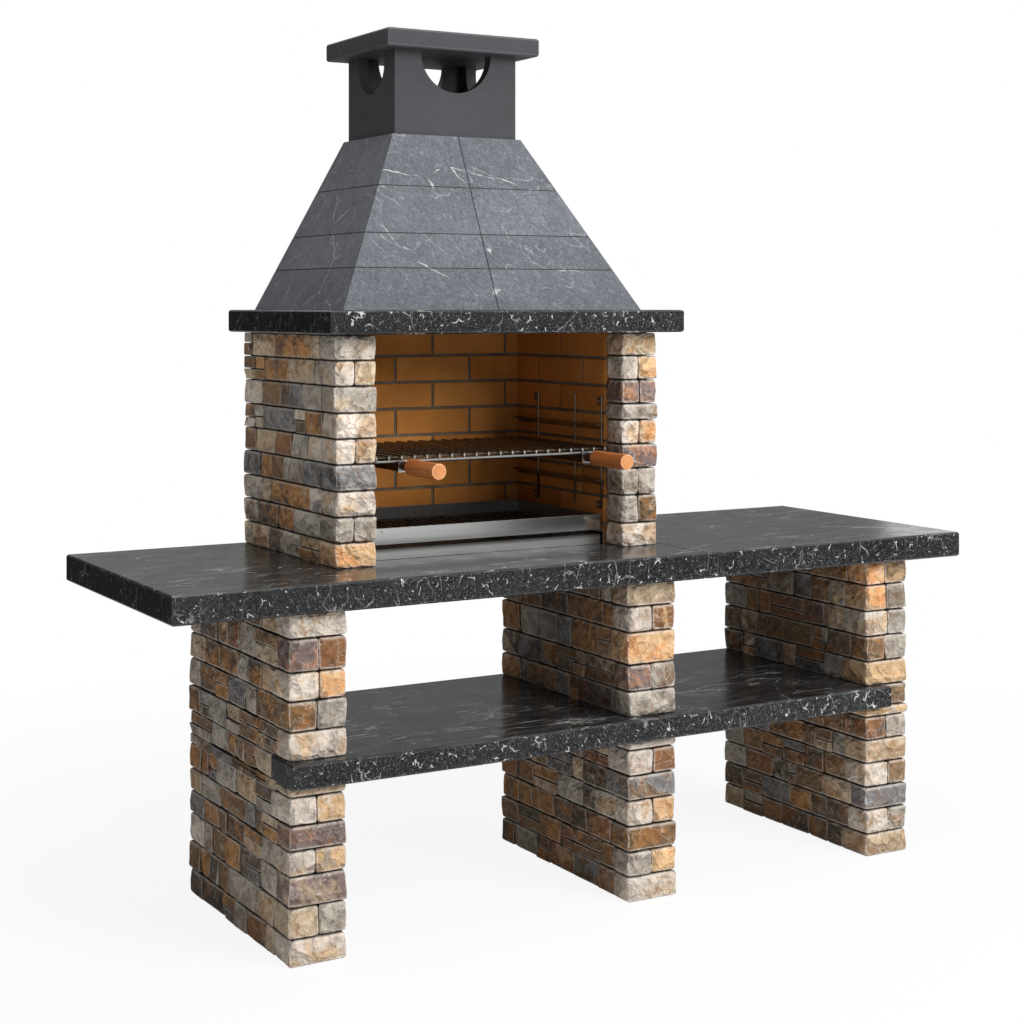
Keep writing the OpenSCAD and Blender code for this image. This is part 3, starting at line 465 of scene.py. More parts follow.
def extent(bm):
    """Lowest and highest corner of a bmesh"""
    low = Vector(min(v.co[i] for v in bm.verts) for i in range(3))
    high = Vector(max(v.co[i] for v in bm.verts) for i in range(3))
    return low, high


def cross_cut(bm, axis, place, reach):
    """Cuts a bmesh by a plane across an axis; points within reach of the plane count as in it"""
    at = Vector((0, 0, 0))
    at[axis] = place
    normal = Vector((0, 0, 0))
    normal[axis] = 1
    bmesh.ops.bisect_plane(bm, geom=bm.verts[:] + bm.edges[:] + bm.faces[:],
                           dist=reach, plane_co=at, plane_no=normal)


def mesh_of(name, bm):
    """Mesh in place of a bmesh"""
    mesh = bpy.data.meshes.new(name)
    bm.to_mesh(mesh)
    bm.free()
    return mesh


def placed(name, data):
    """New object in the scene"""
    obj = bpy.data.objects.new(name, data)
    bpy.context.scene.collection.objects.link(obj)
    return obj


def gather(whole, bm):
    """Moves a bmesh into the whole one"""
    mesh = mesh_of("unit", bm)
    whole.from_mesh(mesh)
    bpy.data.meshes.remove(mesh)


def soften(bm, width, edges=None):
    """Rounds the sharp edges that are long enough, and marks the middle of each rounding"""
    if edges is None:
        edges = [e for e in bm.edges if len(e.link_faces) == 2
                 and e.calc_face_angle(0) > math.radians(25) and e.calc_length() > 2.2 * width]
    rim = bm.verts.layers.float.get("rim") or bm.verts.layers.float.new("rim")
    made = bmesh.ops.bevel(bm, geom=edges, offset=width, segments=2, profile=0.5,
                           affect="EDGES", material=-1, clamp_overlap=True)
    arcs = set(made["faces"])
    for v in made["verts"]:
        if all(f in arcs for f in v.link_faces):
            v[rim] = 1.0


def rims_of(bm):
    """Share of lightened edge at each point: part wear, part painted highlight"""
    rim = bm.verts.layers.float.get("rim")
    return [v[rim] if rim else 0.0 for v in bm.verts]


def piece(name, bm, node, finish, body="root", sharp=40, flat=True, **attributes):
    """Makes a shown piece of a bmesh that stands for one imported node.

    sharp is the angle from which edges stay crisp, flat keeps broad faces evenly lit."""
    return dressed(name, mesh_of(name, bm), node, finish, body, sharp, flat, **attributes)


def dressed(name, mesh, node, finish, body, sharp, flat=False, **attributes):
    """Gives a mesh its finish and its body, and hides the imported node that it stands for"""
    mesh.shade_smooth()
    mesh.set_sharp_from_angle(angle=math.radians(sharp))
    for key, values in attributes.items():
        if key in mesh.attributes:
            mesh.attributes.remove(mesh.attributes[key])
        kind = "FLOAT_COLOR" if isinstance(values[0], tuple) else "FLOAT"
        made = mesh.attributes.new(key, kind, "POINT")
        if kind == "FLOAT":
            made.data.foreach_set("value", values)
        else:
            made.data.foreach_set("color", [c for v in values for c in (*v, 1.0)])
    for material in finish if isinstance(finish, list) else [finish]:
        mesh.materials.append(material)
    obj = placed(name, mesh)
    if flat:
        weighted = obj.modifiers.new("flat_faces", "WEIGHTED_NORMAL")
        weighted.keep_sharp = True
    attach(obj, body)
    if node:
        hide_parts(node)
    return obj


# Stonework

AT_PLANE = 0.0005       # a stone this near to a side of the cladding is shown there
ON_FACE = 0.0002        # a face this near to an outer plane lies in it
REAR_FROM = 0.2995      # stones that reach past this Y also have a dressed rear face
FRONT_ROUND = 0.0085    # rounding of the front stones' level edges
SIDE_ROUND = 0.0075     # most rounding of the other stones' level edges
THIN_SHARE = 0.14       # their rounding as a share of their height, where that is less
UPRIGHT_SHARE = 0.55    # rounding of upright edges as a share of that of the level ones
UPRIGHT_FROM = 0.02     # upright edges shorter than this stay as they are
FRONT_GRID = 0.016      # cell of the grid that the chips move in front stones
SIDE_GRID = 0.026       # the same in the other stones
GRID_MARGIN = 0.002     # clear width between the grid and the rounded edges
GRID_STRAY = 0.15       # how far a line of the grid strays, as a share of a cell
FRONT_CHIPS = 0.005     # depth of the chips in front faces
SIDE_CHIPS = 0.0042     # depth of the chips in the other faces
CHIP_REACH = 1.8        # how far in from a face its chips move points, in rounding widths
PILLOW = 0.55           # fall towards a stone's edges, as a share of the depth of its chips
PILLOW_REACH = 0.024    # width of that fall
ROUGH = 0.9             # relief of the fine roughness, as a share of the same depth
SUNK_FLAT = 0.0055      # most by which a stone with one outer face lies back
SUNK_CORNER = 0.0012    # the same for a corner stone
# The darkening between the stones is painted shade
JOINT_SHADE_START = 0.3       # where a joint begins to darken, in rounding widths from the face
JOINT_SHADE_REACH = 0.65      # over how many rounding widths it darkens
BORROWED = 0.3          # share of stones whose patches take their colour from another kind


def facets(rng, depth):
    """Chiselled planes of one stone face, each as a level and two slopes"""
    return [(rng.uniform(-0.3, 0.15) * depth, rng.uniform(-1, 1) * depth, rng.uniform(-1, 1) * depth)
            for _ in range(4)]


def round_stone(bm, faces, width):
    """Rounds the level edges of a stone's outer faces, then their upright edges a little less"""
    def outer_points():
        found = set()
        for face in bm.faces:
            centre = face.calc_center_median()
            if any(abs(centre[axis] - at) < ON_FACE and face.normal[axis] * way > 0.9
                   for axis, way, at, _ in faces):
                found.update(face.verts)
        return found

    def rise(edge):
        return abs(edge.verts[0].co.z - edge.verts[1].co.z)

    def outward(edge):
        return edge.calc_face_angle(0) > 0.5 and edge.is_convex

    points = outer_points()
    soften(bm, width, [e for e in bm.edges if outward(e) and rise(e) < 0.001
                       and any(v in points for v in e.verts)])
    points = outer_points()
    soften(bm, UPRIGHT_SHARE * width, [e for e in bm.edges if outward(e) and rise(e) > UPRIGHT_FROM
                                       and all(v in points for v in e.verts)])


def cut_grid(bm, axes, rng, width, grid, low, high):
    """Cuts a stone into a loose grid that leaves its rounded edges whole"""
    for axis in range(3):
        if axes == {axis}:
            continue
        span = high[axis] - low[axis]
        parts = max(1, round(span / grid))
        for i in range(1, parts):
            place = low[axis] + span * (i + rng.uniform(-GRID_STRAY, GRID_STRAY)) / parts
            if min(abs(place - low[axis]), abs(place - high[axis])) > width + GRID_MARGIN:
                cross_cut(bm, axis, place, 0.001)


def chip_stone(bm, faces, rng, width, low, high):
    """Chips and pillows a stone's outer faces; gives the painted shade of each point by its depth"""
    bm.verts.index_update()
    moves = [Vector((0, 0, 0)) for _ in bm.verts]
    joints = [1.0] * len(bm.verts)
    sunk = rng.uniform(0, SUNK_CORNER if len(faces) > 1 else SUNK_FLAT)
    for axis, way, at, depth in faces:
        planes = facets(rng, depth)
        seed = Vector((at * 17, at * 5, at * 11))
        across = [i for i in range(3) if i != axis]
        mid = [(low[i] + high[i]) / 2 for i in across]
        half = [(high[i] - low[i]) / 2 for i in across]
        for v in bm.verts:
            inside = (at - v.co[axis]) * way
            # Painted shade: darker the deeper a point lies behind the face
            dark = max(0.0, (inside - JOINT_SHADE_START * width) / (JOINT_SHADE_REACH * width))
            joints[v.index] = min(joints[v.index], dark)
            share = 1 - inside / (CHIP_REACH * width)
            if share <= 0:
                continue
            u, w = ((v.co[i] - m) / h for i, m, h in zip(across, mid, half))
            edge = min((1 - abs(u)) * half[0], (1 - abs(w)) * half[1])
            chip = max(0.0, max(a + b * u + c * w for a, b, c in planes))
            pillow = PILLOW * depth * max(0.0, 1 - edge / PILLOW_REACH) ** 2
            rough = ROUGH * depth * max(0.0, noise.noise(v.co * 55 + seed))
            moves[v.index][axis] -= way * share * (sunk + chip + pillow + rough)
    for v, move in zip(bm.verts, moves):
        v.co += move
    return [min(1.0, j) for j in joints]


def dress_stone(bm, faces, rng, width, grid):
    """Rounds and chips a stone, and gives for its points the lighter rounded edges, part wear and
    part painted highlight, and the painted shade deep between the stones.

    faces lists the outer planes as axis, direction, place and depth of the chips."""
    low, high = extent(bm)
    round_stone(bm, faces, width)
    cut_grid(bm, {axis for axis, _, _, _ in faces}, rng, width, grid, low, high)
    joints = chip_stone(bm, faces, rng, width, low, high)
    return rims_of(bm), joints


def jitter(rng, colour, tone):
    """Colour lightened or darkened by the given painted light and shade, and a little more by chance
    """
    k = tone * rng.uniform(0.86, 1.14)
    return tuple(min(1.0, c * k) for c in tint(*colour))


def course_rows(stones):
    """Rows of stones from the top down, each as its top and the indices of its stones"""
    courses = []
    for i in sorted(range(len(stones)), key=lambda i: stones[i][1].z):
        low, high = stones[i][1:]
        if not courses or low.z > courses[-1][0]:
            courses.append([high.z, []])
        courses[-1][0] = max(courses[-1][0], high.z)
        courses[-1][1].append(i)
    return courses[::-1]


def stone_letters(stones, box, front, left):
    """Palette letter of each shown stone, from the rows of letters of the two shown faces"""
    letters = {}
    front_marks = list(front)
    left_rows = left.split()
    for k, (top, line) in enumerate(course_rows(stones)):
        fronts = sorted((i for i in line if abs(stones[i][1].y - box[0].y) < AT_PLANE),
                        key=lambda i: stones[i][1].x)
        for i in fronts:
            letters[i] = front_marks.pop(0) if front_marks else "g"
        if k < len(left_rows):
            lefts = sorted((i for i in line if abs(stones[i][1].x - box[0].x) < AT_PLANE
                            and i not in letters and stones[i][2].z > top - 0.001),
                           key=lambda i: -stones[i][1].y)
            for i, mark in zip(lefts, left_rows[k]):
                letters[i] = mark
    return letters


def cladding(name, node, front, left, tones):
    """All stones of a leg or wall.

    front and left give the letters of the shown stones, tones the painted light and shade on
    the front stones and on the others."""
    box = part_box(node)
    stones = [(bm, *extent(bm)) for bm in solids(node)]
    letters = stone_letters(stones, box, front, left)
    whole = bmesh.new()
    colours, patches, rims, joints = [], [], [], []
    for i, (bm, low, high) in enumerate(stones):
        rng = random.Random(f"{node} {i}")
        mark = letters.get(i) or rng.choice("bkabrtgkbaks")
        main, patch = STONES[mark]
        shown = abs(low.y - box[0].y) < AT_PLANE
        faces = []
        if shown:
            faces.append((1, -1, low.y, FRONT_CHIPS))
        if abs(low.x - box[0].x) < AT_PLANE:
            faces.append((0, -1, low.x, SIDE_CHIPS))
        if abs(high.x - box[1].x) < AT_PLANE:
            faces.append((0, 1, high.x, SIDE_CHIPS))
        if high.y > REAR_FROM:
            faces.append((1, 1, high.y, SIDE_CHIPS))
        width = FRONT_ROUND if shown else min(SIDE_ROUND, THIN_SHARE * (high.z - low.z))
        # Each stone gives its lighter edges and its painted shade between the stones
        rim, joint = dress_stone(bm, faces, rng, width, FRONT_GRID if shown else SIDE_GRID)
        gather(whole, bm)
        rims += rim
        joints += joint
        # Painted light and shade of the stone
        tone = tones[0] if shown else tones[1]
        colours += [jitter(rng, main, tone)] * len(rim)
        other = STONES[rng.choice("ctorbpgsk")][0] if rng.random() < BORROWED else patch
        patches += [jitter(rng, other, tone)] * len(rim)
    return piece(name, whole, node, stone, sharp=60, flat=False,
                 main_colour=colours, patch_colour=patches, rim=rims, joint=joints)


def laid(name, node, finish, width, sharp=40, groove=None):
    """Bricks or tiles of a node with softened edges and a tone for each.

    groove gives the axis along which long bricks lie, the axis of their shown face and the
    direction of that face."""
    whole = bmesh.new()
    tones, rims = [], []
    for i, bm in enumerate(solids(node)):
        soften(bm, width)
        if groove:
            score(bm, *groove)
        tones += [random.Random(f"{node} {i}").random()] * len(bm.verts)
        rims += rims_of(bm)
        gather(whole, bm)
    return piece(name, whole, node, finish, sharp=sharp, tone=tones, rim=rims)


LONG_BRICK = 0.15       # bricks longer than this are scored
GROOVE_HALF = 0.0014    # half the width of the groove
GROOVE_DEPTH = 0.0018


def score(bm, along, across, side):
    """Upright groove in the middle of a long brick, in its face on the given side"""
    low, high = extent(bm)
    if high[along] - low[along] < LONG_BRICK:
        return
    face = low[across] if side < 0 else high[across]
    middle = (low[along] + high[along]) / 2
    for step in (-GROOVE_HALF, 0.0, GROOVE_HALF):
        cross_cut(bm, along, middle + step, 0.0001)
    for v in bm.verts:
        if abs(v.co[along] - middle) < 0.0003 and abs(v.co[across] - face) < 0.001:
            v.co[across] -= side * GROOVE_DEPTH


GROUT_BACK = 0.0015     # how far the mortar lies behind the tiles' faces
GROUT_DEPTH = 0.007     # from there inward


def hood_grout():
    """Strips of mortar that close the level joints of the hood's tiles"""
    courses = set()
    for bm in solids("hood_front_tiles"):
        low, high = extent(bm)
        courses.add((round(low.z, 5), round(high.z, 5)))
        bm.free()
    courses = sorted(courses)
    front, rear, left, right = (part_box(f"hood_{side}_tiles")
                                for side in ("front", "rear", "left", "right"))
    thick = 0.01
    foot = (front[0].x, front[0].y, front[1].x, rear[1].y)
    head = (left[1].x - thick, front[1].y - thick, right[0].x + thick, rear[0].y + thick)
    whole = bmesh.new()
    for (_, below), (above, _) in zip(courses, courses[1:]):
        share = (below - front[0].z) / (front[1].z - front[0].z)
        x0, y0, x1, y1 = ((1 - share) * a + share * b for a, b in zip(foot, head))
        made = bmesh.ops.create_grid(whole, x_segments=1, y_segments=1, size=0.5)["verts"]
        bmesh.ops.scale(whole, verts=made,
                        vec=(x1 - x0 - 2 * GROUT_BACK, y1 - y0 - 2 * GROUT_BACK, 1))
        bmesh.ops.translate(whole, verts=made, vec=((x0 + x1) / 2, (y0 + y1) / 2, below))
        middle = made[0].link_faces[0]
        strip = bmesh.ops.inset_region(whole, faces=[middle], thickness=GROUT_DEPTH,
                                       use_even_offset=True, use_boundary=True)["faces"]
        bmesh.ops.delete(whole, geom=[middle], context="FACES_ONLY")
        risen = bmesh.ops.extrude_face_region(whole, geom=strip)["geom"]
        bmesh.ops.translate(whole, verts=[v for v in risen if isinstance(v, bmesh.types.BMVert)],
                            vec=(0, 0, above - below))
    bmesh.ops.recalc_face_normals(whole, faces=whole.faces[:])
    grout = piece("hood_grout", whole, None, grout_mortar)


def eased(name, node, finish, width, body="root"):
    """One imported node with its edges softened"""
    bm = merged(node)
    soften(bm, width)
    return piece(name, bm, node, finish, body, rim=rims_of(bm))


# Metalwork

BAR_DIAMETER = 0.005    # of the grill's bars
BAR_BEND = 0.006        # bend where a bar turns down at its ends
FRAME_BEND = 0.012      # bend of the frame's corners
BEND_STEPS = 5
GRIP_BORE = 0.00505     # radius of the bore that takes the shank
BORE_DEPTH = 0.1
BORE_FLARE = 0.001      # widening of the bore at its mouth
GRIP_ROUND = 0.003      # rounding at a grip's ends
GRIP_SWELL = 0.0002     # how far a grip's middle stands out
END_RIM = 0.0022       # width of the lighter ring on a grip's front end, part wear and part painted highlight


def wire(name, runs, diameter, finish, node, body, closed=False):
    """Round rods along lists of points, with capped ends or closed into rings"""
    curve = bpy.data.curves.new(name, "CURVE")
    curve.dimensions = "3D"
    curve.bevel_depth = diameter / 2
    curve.bevel_resolution = 3
    curve.use_fill_caps = not closed
    for points in runs:
        spline = curve.splines.new("POLY")
        spline.points.add(len(points) - 1)
        for p, co in zip(spline.points, points):
            p.co = (*co, 1)
        spline.use_cyclic_u = closed
    holder = placed(name, curve)
    graph = bpy.context.evaluated_depsgraph_get()
    mesh = bpy.data.meshes.new_from_object(holder.evaluated_get(graph))
    bpy.data.objects.remove(holder)
    bpy.data.curves.remove(curve)
    mesh.name = name
    mesh.materials.clear()
    bm = bmesh.new()
    bm.from_mesh(mesh)
    bmesh.ops.remove_doubles(bm, verts=bm.verts[:], dist=0.00001)
    bmesh.ops.recalc_face_normals(bm, faces=bm.faces[:])
    bm.to_mesh(mesh)
    bm.free()
    return dressed(name, mesh, node, finish, body, 50)


def rounded(points, radius, closed=False):
    """Points of a bent rod, with an arc in place of each corner"""
    out = []
    last = len(points)
    for i, p in enumerate(points):
        p = Vector(p)
        if not closed and i in (0, last - 1):
            out.append(p)
            continue
        before = (Vector(points[i - 1]) - p).normalized()
        after = (Vector(points[(i + 1) % last]) - p).normalized()
        start = p + before * radius
        end = p + after * radius
        for k in range(BEND_STEPS + 1):
            t = k / BEND_STEPS
            out.append((1 - t) ** 2 * start + 2 * t * (1 - t) * p + t ** 2 * end)
    return out


def grip_profile(radius, length):
    """Radius and distance from the rear end, from the bore round to the middle of the front"""
    arc = [math.radians(a) for a in range(0, 91, 18)]
    core = radius - GRIP_ROUND
    profile = [(GRIP_BORE, BORE_DEPTH), (GRIP_BORE, 2 * BORE_FLARE), (GRIP_BORE + BORE_FLARE, 0.0)]
    profile += [(core + GRIP_ROUND * math.sin(a), GRIP_ROUND - GRIP_ROUND * math.cos(a)) for a in arc]
    profile += [(radius + GRIP_SWELL * math.sin(math.pi * k / 8) - GRIP_SWELL,
                 GRIP_ROUND + (length - 2 * GRIP_ROUND) * k / 8) for k in range(1, 8)]
    profile += [(core + GRIP_ROUND * math.sin(a), length - GRIP_ROUND + GRIP_ROUND * math.cos(a))
                for a in reversed(arc)]
    return profile + [(0.0, length)]


def turned(name, profile, finish, node, body, x, y, z, end):
    """Piece turned about a level axis along Y, from a profile of radius and distance.

    The points further along than end show end grain."""
    bm = bmesh.new()
    verts = [bm.verts.new((r, -d, 0)) for r, d in profile]
    edges = [bm.edges.new(pair) for pair in zip(verts, verts[1:])]
    bmesh.ops.spin(bm, geom=verts + edges, cent=(0, 0, 0), axis=(0, 1, 0), angle=math.tau,
                   steps=32, use_merge=True, use_duplicate=False)
    bmesh.ops.remove_doubles(bm, verts=bm.verts[:], dist=0.00002)
    bmesh.ops.recalc_face_normals(bm, faces=bm.faces[:])
    bmesh.ops.translate(bm, verts=bm.verts[:], vec=(x, y, z))
    ends = [1.0 if (y - v.co.y) > end else 0.0 for v in bm.verts]
    reach = max(r for r, _ in profile)
    # The outer ring of the front end is lighter: part wear, part painted highlight
    rims = [1.0 if e and math.hypot(v.co.x - x, v.co.z - z) > reach - END_RIM else 0.0
            for v, e in zip(bm.verts, ends)]
    return piece(name, bm, node, finish, body, 50, end_grain=ends, rim=rims)


# Finishes in use

stone = cladding_stone()
# The ends take a copy of the edge marble with fewer flecks, darker as painted shade
marble = [black_marble("marble_top", 0.42, streaks=1.0), black_marble("marble_edge", 0.12, flecks=1.0),
          black_marble("marble_shaded_end", 0.1, flecks=0.28)]
slate = hood_slate()
paint = painted_concrete()
concrete = bare_concrete()
brick = firebrick()
mortar = brick_mortar("brick_mortar", tint(104, 92, 78), tint(132, 120, 104))
grout_mortar = brick_mortar("grout_mortar", tint(52, 50, 48), tint(74, 71, 68))
rod_steel = steel("rod_steel", tint(186, 178, 168), 0.3)
rack_steel = steel("rack_steel", tint(128, 116, 102), 0.38)
used_steel = steel("used_steel", tint(132, 119, 104), 0.36)
sheet_steel = steel("sheet_steel", tint(214, 214, 212), 0.17, (0.1, 4, 4))
# The drawer carries a painted shadow of the tray along its top
drawer_steel = steel("drawer_steel", tint(214, 214, 212), 0.3, (0.1, 4, 4), (0.876, 0.886))
frame_steel = steel("frame_steel", tint(176, 174, 170), 0.34)
# Darker steel for the inside of the tray: painted shade
tray_shade_steel = steel("tray_shade_steel", tint(122, 120, 117), 0.42)
dark_steel = steel("dark_steel", tint(88, 76, 64), 0.5)
plate_steel = steel("plate_steel", tint(206, 206, 204), 0.25)
iron = grate_iron()
wood = beech_wood()


def coat(finish, *nodes):
    """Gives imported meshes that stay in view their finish"""
    for node in nodes:
        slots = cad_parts[node].data.materials
        slots.clear()
        slots.append(finish)


coat(concrete, "left_leg_core", "middle_leg_core", "right_leg_core", "left_wall_core",
     "right_wall_core", "rear_wall_panel", "hood_shell")
coat(mortar, "left_mortar", "right_mortar", "rear_mortar")
coat(rod_steel, "worktop_dowels")


# Camera and light

bpy.context.scene.view_settings.view_transform = "Standard"

# The camera looks level, and its shift brings the whole barbecue into the picture
lens = bpy.data.cameras.new("camera")
lens.sensor_width = 36
lens.lens = 64.97
lens.shift_y = -0.2012
camera = placed("camera", lens)
camera.location = (-2.464, -4.153, 1.478)
camera.rotation_euler = (math.radians(90), 0, math.radians(-30))
bpy.context.scene.camera = camera


def softbox(name, place, aim, size, power, mirrored):
    """Square studio lamp, which shiny faces mirror or not"""
    lamp = bpy.data.lights.new(name, "AREA")
    lamp.size = size
    lamp.energy = power
    obj = placed(name, lamp)
    obj.location = place
    obj.rotation_euler = (Vector(aim) - Vector(place)).to_track_quat("-Z", "Y").to_euler()
    obj.visible_glossy = mirrored


softbox("front_softbox", (2.2, -5.2, 3.6), (-0.1, 0, 1.0), 3.0, 395, False)
softbox("top_softbox", (-0.4, -1.0, 5.2), (-0.1, 0, 1.0), 2.4, 70, True)

world = bpy.data.worlds.new("studio")
world.use_nodes = True
bpy.context.scene.world = world
sky = world.node_tree
sky_light = sky.nodes["Background"]
sky_light.inputs["Color"].default_value = (1, 1, 1, 1)
sky_light.inputs["Strength"].default_value = 0.3
# A sky sampled like a lamp leaves grain in the steel
world.cycles.sampling_method = "NONE"
# The camera and mirroring faces see a white backdrop in place of the dim sky
backdrop = sky.nodes.new("ShaderNodeBackground")
backdrop.inputs["Color"].default_value = (1, 1, 1, 1)
backdrop.inputs["Strength"].default_value = 1.0
path = sky.nodes.new("ShaderNodeLightPath")
seen = path.outputs["Is Camera Ray"]
for ray in ("Is Glossy Ray", "Is Transmission Ray"):
    either = sky.nodes.new("ShaderNodeMath")
    either.operation = "MAXIMUM"
    sky.links.new(seen, either.inputs[0])
    sky.links.new(path.outputs[ray], either.inputs[1])
    seen = either.outputs[0]
choose = sky.nodes.new("ShaderNodeMixShader")
sky.links.new(seen, choose.inputs["Fac"])
sky.links.new(sky_light.outputs[0], choose.inputs[1])
sky.links.new(backdrop.outputs[0], choose.inputs[2])
sky.links.new(choose.outputs[0], sky.nodes["World Output"].inputs["Surface"])


def studio_object(name, bm, finish):
    """Object of the studio, which isn't part of the barbecue"""
    mesh = mesh_of(name, bm)
    mesh.materials.append(finish.material)
    return placed(name, mesh)


def studio_floor():
    """Pale floor that keeps the shadow near the barbecue and fades into the backdrop"""
    bm = bmesh.new()
    bmesh.ops.create_circle(bm, cap_ends=True, radius=40, segments=96)
    f = Finish("pale_floor", (0.86, 0.86, 0.86), 0.9)
    away = f.add("ShaderNodeVectorMath", operation="LENGTH")
    f.feed(away.inputs[0], f.place)
    fade = f.between(away.outputs["Value"], 1.2, 3.0, 0.9, 1.0)
    glow = f.add("ShaderNodeEmission")
    glow.inputs["Strength"].default_value = 1.0
    blend = f.add("ShaderNodeMixShader")
    camera_ray = f.add("ShaderNodeLightPath").outputs["Is Camera Ray"]
    f.feed(blend.inputs["Fac"], f.times(fade, camera_ray))
    f.feed(blend.inputs[1], f.shader.outputs[0])
    f.feed(blend.inputs[2], glow.outputs[0])
    f.feed(f.tree.nodes["Material Output"].inputs["Surface"], blend.outputs[0])
    floor = studio_object("floor", bm, f)
    floor.location.z = -0.0005


def flag(name, place, aim, size, shade):
    """Studio card that darkens what glossy faces mirror, unseen by the camera"""
    bm = bmesh.new()
    bmesh.ops.create_grid(bm, x_segments=1, y_segments=1, size=0.5)
    turn = (Vector(aim) - Vector(place)).to_track_quat("Z", "Y").to_matrix()
    bmesh.ops.scale(bm, verts=bm.verts[:], vec=(size[0], size[1], 1))
    bmesh.ops.rotate(bm, verts=bm.verts[:], cent=(0, 0, 0), matrix=turn)
    bmesh.ops.translate(bm, verts=bm.verts[:], vec=place)
    card = studio_object(name, bm, Finish(name, (shade, shade, shade), 1.0, specular=0.0))
    card.visible_camera = False
    card.visible_shadow = False
    card.visible_diffuse = False


studio_floor()
flag("left_flag", (-4.4, 0.6, 2.0), (0, 0.6, 2.0), (5.0, 4.4), 0.1)
flag("rear_left_flag", (-2.5, 2.4, 1.7), (-1.1, 0, 1.7), (3.4, 3.2), 0.1)
flag("low_flag", (2.1, -2.6, 0.62), (2.1, 0.0, 0.62), (1.7, 1.15), 0.03)
flag("rear_flag", (0.5, 6.0, 2.0), (0.5, 0, 2.0), (12.0, 4.0), 0.42)


# The barbecue

# Rounding of edges
SLAB_ROUND = 0.0012
TILE_ROUND = 0.0012
BOX_ROUND = 0.002
CAP_ROUND = 0.0015
BRICK_ROUND = 0.0016
RACK_ROUND = 0.0006
SHEET_ROUND = 0.0004
SCREW_ROUND = 0.0005
WIRE_ROUND = 0.0003
RUNNER_ROUND = 0.0008
SHANK_ROUND = 0.0004
SLEEVE_ROUND = 0.0008
TRAY_ROUND = 0.0005
GRATE_ROUND = 0.0004
RIVET_ROUND = 0.0003

# The bars' bright front ends are a painted highlight
BAR_HIGHLIGHT_FRONT = 0.004       # length of the bright front ends of the grill's bars
RUNNER_FRONT = 0.0032   # length of the runners' bright front ends
END_GRAIN = 0.001       # depth of the end grain at the front of a grip

# Painted light and shade on the front stones and on the others: the legs darker under the
# worktops, the right wall's front darker, the left wall's other stones lighter
LEG_PAINTED_SHADE = (0.8, 0.9)
LEFT_WALL_PAINTED_LIGHT = (1.0, 1.3)
RIGHT_WALL_PAINTED_SHADE = (0.92, 1.0)

# The letters read as in the photo, from the top course down and from left to right
cladding("left_leg_cladding", "left_leg_stones",
         "c" "pr" "co" "bg" "c" "t" "co" "p" "co" "p" "tg" "c",
         "tgkakt gkbrgb tbagkt gkasgb asgtbk kgabrt gksbat bragtk tgbskt sabkag cgbakg bakbgt kkagrt",
         LEG_PAINTED_SHADE)
cladding("middle_leg_cladding", "middle_leg_stones",
         "t" "cr" "o" "pg" "g" "c" "cr" "s" "co" "b" "go" "c", "", LEG_PAINTED_SHADE)
cladding("right_leg_cladding", "right_leg_stones",
         "ob" "og" "cg" "bg" "o" "b" "o" "rg" "t" "cb" "s" "cg" "t", "", LEG_PAINTED_SHADE)
cladding("left_wall_cladding", "left_wall_stones",
         "g" "ct" "g" "c" "ct" "s" "c" "gg" "o",
         "gtaat kaatg cbksg agsca btrgc sabgs gtaac gkbag gtkgt", LEFT_WALL_PAINTED_LIGHT)
cladding("right_wall_cladding", "right_wall_stones",
         "t" "co" "pp" "g" "co" "p" "gg" "gb" "c", "", RIGHT_WALL_PAINTED_SHADE)


def marble_of(normal):
    """Index of the marble of a face: 0 level, 1 front and rear, 2 ends, darker with fewer flecks as
    painted shade
    """
    if abs(normal.z) > 0.6:
        return 0
    return 2 if abs(normal.x) > 0.6 else 1


for name in ("left_worktop", "left_shelf", "right_worktop", "right_shelf", "mantel"):
    slab = eased(f"{name}_marble", f"{name}_slab", marble, SLAB_ROUND)
    for face in slab.data.polygons:
        face.material_index = marble_of(face.normal)
for side in ("front", "right", "rear", "left"):
    laid(f"hood_{side}_slate", f"hood_{side}_tiles", slate, TILE_ROUND, 20)
hood_grout()
eased("chimney_box_painted", "chimney_box", paint, BOX_ROUND)
eased("chimney_cap_painted", "chimney_cap", paint, CAP_ROUND)
for side, groove in (("left", (1, 0, 1)), ("right", (1, 0, -1)), ("rear", (0, 1, -1))):
    laid(f"{side}_lining", f"{side}_firebricks", brick, BRICK_ROUND, groove=groove)

for side in ("left", "right"):
    eased(f"{side}_rack", f"{side}_grill_rack", rack_steel, RACK_ROUND)
    eased(f"{side}_rail", f"{side}_tray_rail", sheet_steel, SHEET_ROUND)
eased("rack_screw_heads", "rack_screws", rod_steel, SCREW_ROUND)


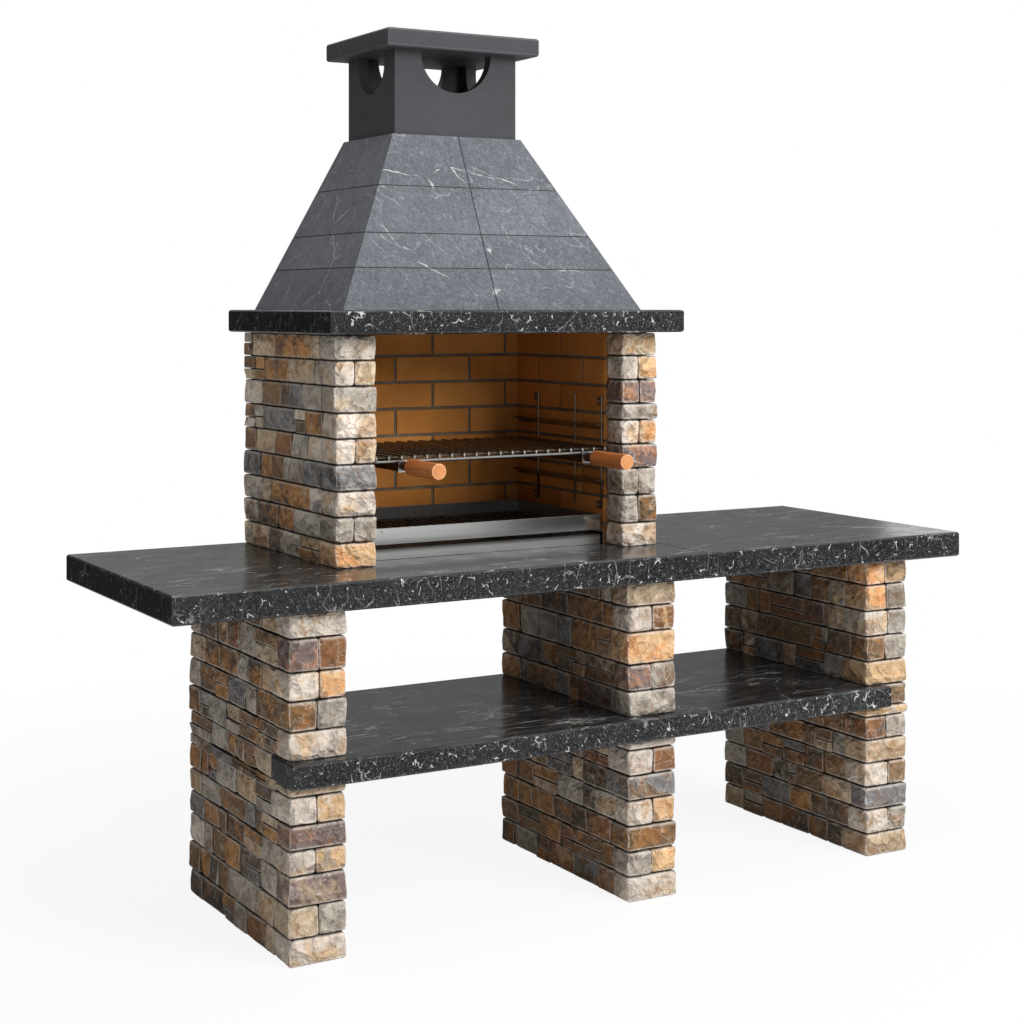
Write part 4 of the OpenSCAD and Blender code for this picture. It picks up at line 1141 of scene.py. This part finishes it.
def grill():
    """Frame, bars and cross rods, with bright steel on the bars' front ends as a painted highlight"""
    low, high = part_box("grill_frame")
    rod = high.z - low.z
    x0, x1 = low.x + rod / 2, high.x - rod / 2
    y0, y1 = low.y + rod / 2, high.y - rod / 2
    z = low.z + rod / 2
    corners = [(x0, y0, z), (x1, y0, z), (x1, y1, z), (x0, y1, z)]
    wire("grill_frame_rod", [rounded(corners, FRAME_BEND, True)], rod, frame_steel, "grill_frame",
         "grill", closed=True)
    runs = []
    for bm in solids("grill_rods"):
        low, high = extent(bm)
        bm.free()
        x = (low.x + high.x) / 2
        top = high.z - BAR_DIAMETER / 2
        runs.append(rounded([(x, y0, low.z), (x, y0, top), (x, y1, top), (x, y1, low.z)], BAR_BEND))
    bars = wire("grill_bars", runs, BAR_DIAMETER, [used_steel, plate_steel], "grill_rods", "grill")
    # Painted highlight: the bars' front ends in bright steel
    for face in bars.data.polygons:
        face.material_index = 1 if face.center.y < y0 + BAR_HIGHLIGHT_FRONT else 0
    eased("grill_cross_wires", "grill_cross_rods", used_steel, WIRE_ROUND, "grill")


def handle(side):
    """Runner with a bright front end, and the turned grip on the side's handle"""
    low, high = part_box(f"{side}_runner")
    bm = merged(f"{side}_runner")
    soften(bm, RUNNER_ROUND)
    for face in bm.faces:
        front = face.calc_center_median().y < low.y + RUNNER_FRONT
        face.material_index = 1 if front else 0
    piece(f"{side}_runner_bar", bm, f"{side}_runner", [dark_steel, plate_steel], "grill")
    low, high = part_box(f"{side}_grip")
    radius = (high.z - low.z) / 2
    length = high.y - low.y
    turned(f"{side}_grip_turned", grip_profile(radius, length), wood, f"{side}_grip", "grill",
           (low.x + high.x) / 2, high.y, (low.z + high.z) / 2, length - END_GRAIN)


def charcoal_tray():
    """Tray of bright sheet, with a darker steel as painted shade on its floor and on the faces
    that look to its inside
    """
    bm = merged("charcoal_tray")
    low, high = extent(bm)
    inside = (low + high) / 2 + Vector((0, 0, 0.05))
    soften(bm, TRAY_ROUND)
    for face in bm.faces:
        middle = face.calc_center_median()
        inner = face.normal.dot(inside - middle) > 0.004 and face.normal.z < 0.9
        floor = face.normal.z > 0.9 and middle.z < high.z - 0.01
        # The inner faces and the floor take the darker steel of painted shade
        face.material_index = 1 if inner or floor else 0
    piece("charcoal_tray_folded", bm, "charcoal_tray", [sheet_steel, tray_shade_steel], "charcoal_tray",
          rim=rims_of(bm))


grill()
for side in ("left", "right"):
    handle(side)
eased("handle_rods", "handle_shanks", rod_steel, SHANK_ROUND, "grill")
eased("handle_sleeves", "handle_ferrules", dark_steel, SLEEVE_ROUND, "grill")
charcoal_tray()
eased("charcoal_grate_slotted", "charcoal_grate", iron, GRATE_ROUND, "charcoal_tray")
eased("tray_rivet_heads", "tray_rivets", plate_steel, RIVET_ROUND, "charcoal_tray")
eased("ash_drawer_folded", "ash_drawer", drawer_steel, SHEET_ROUND, "ash_drawer")
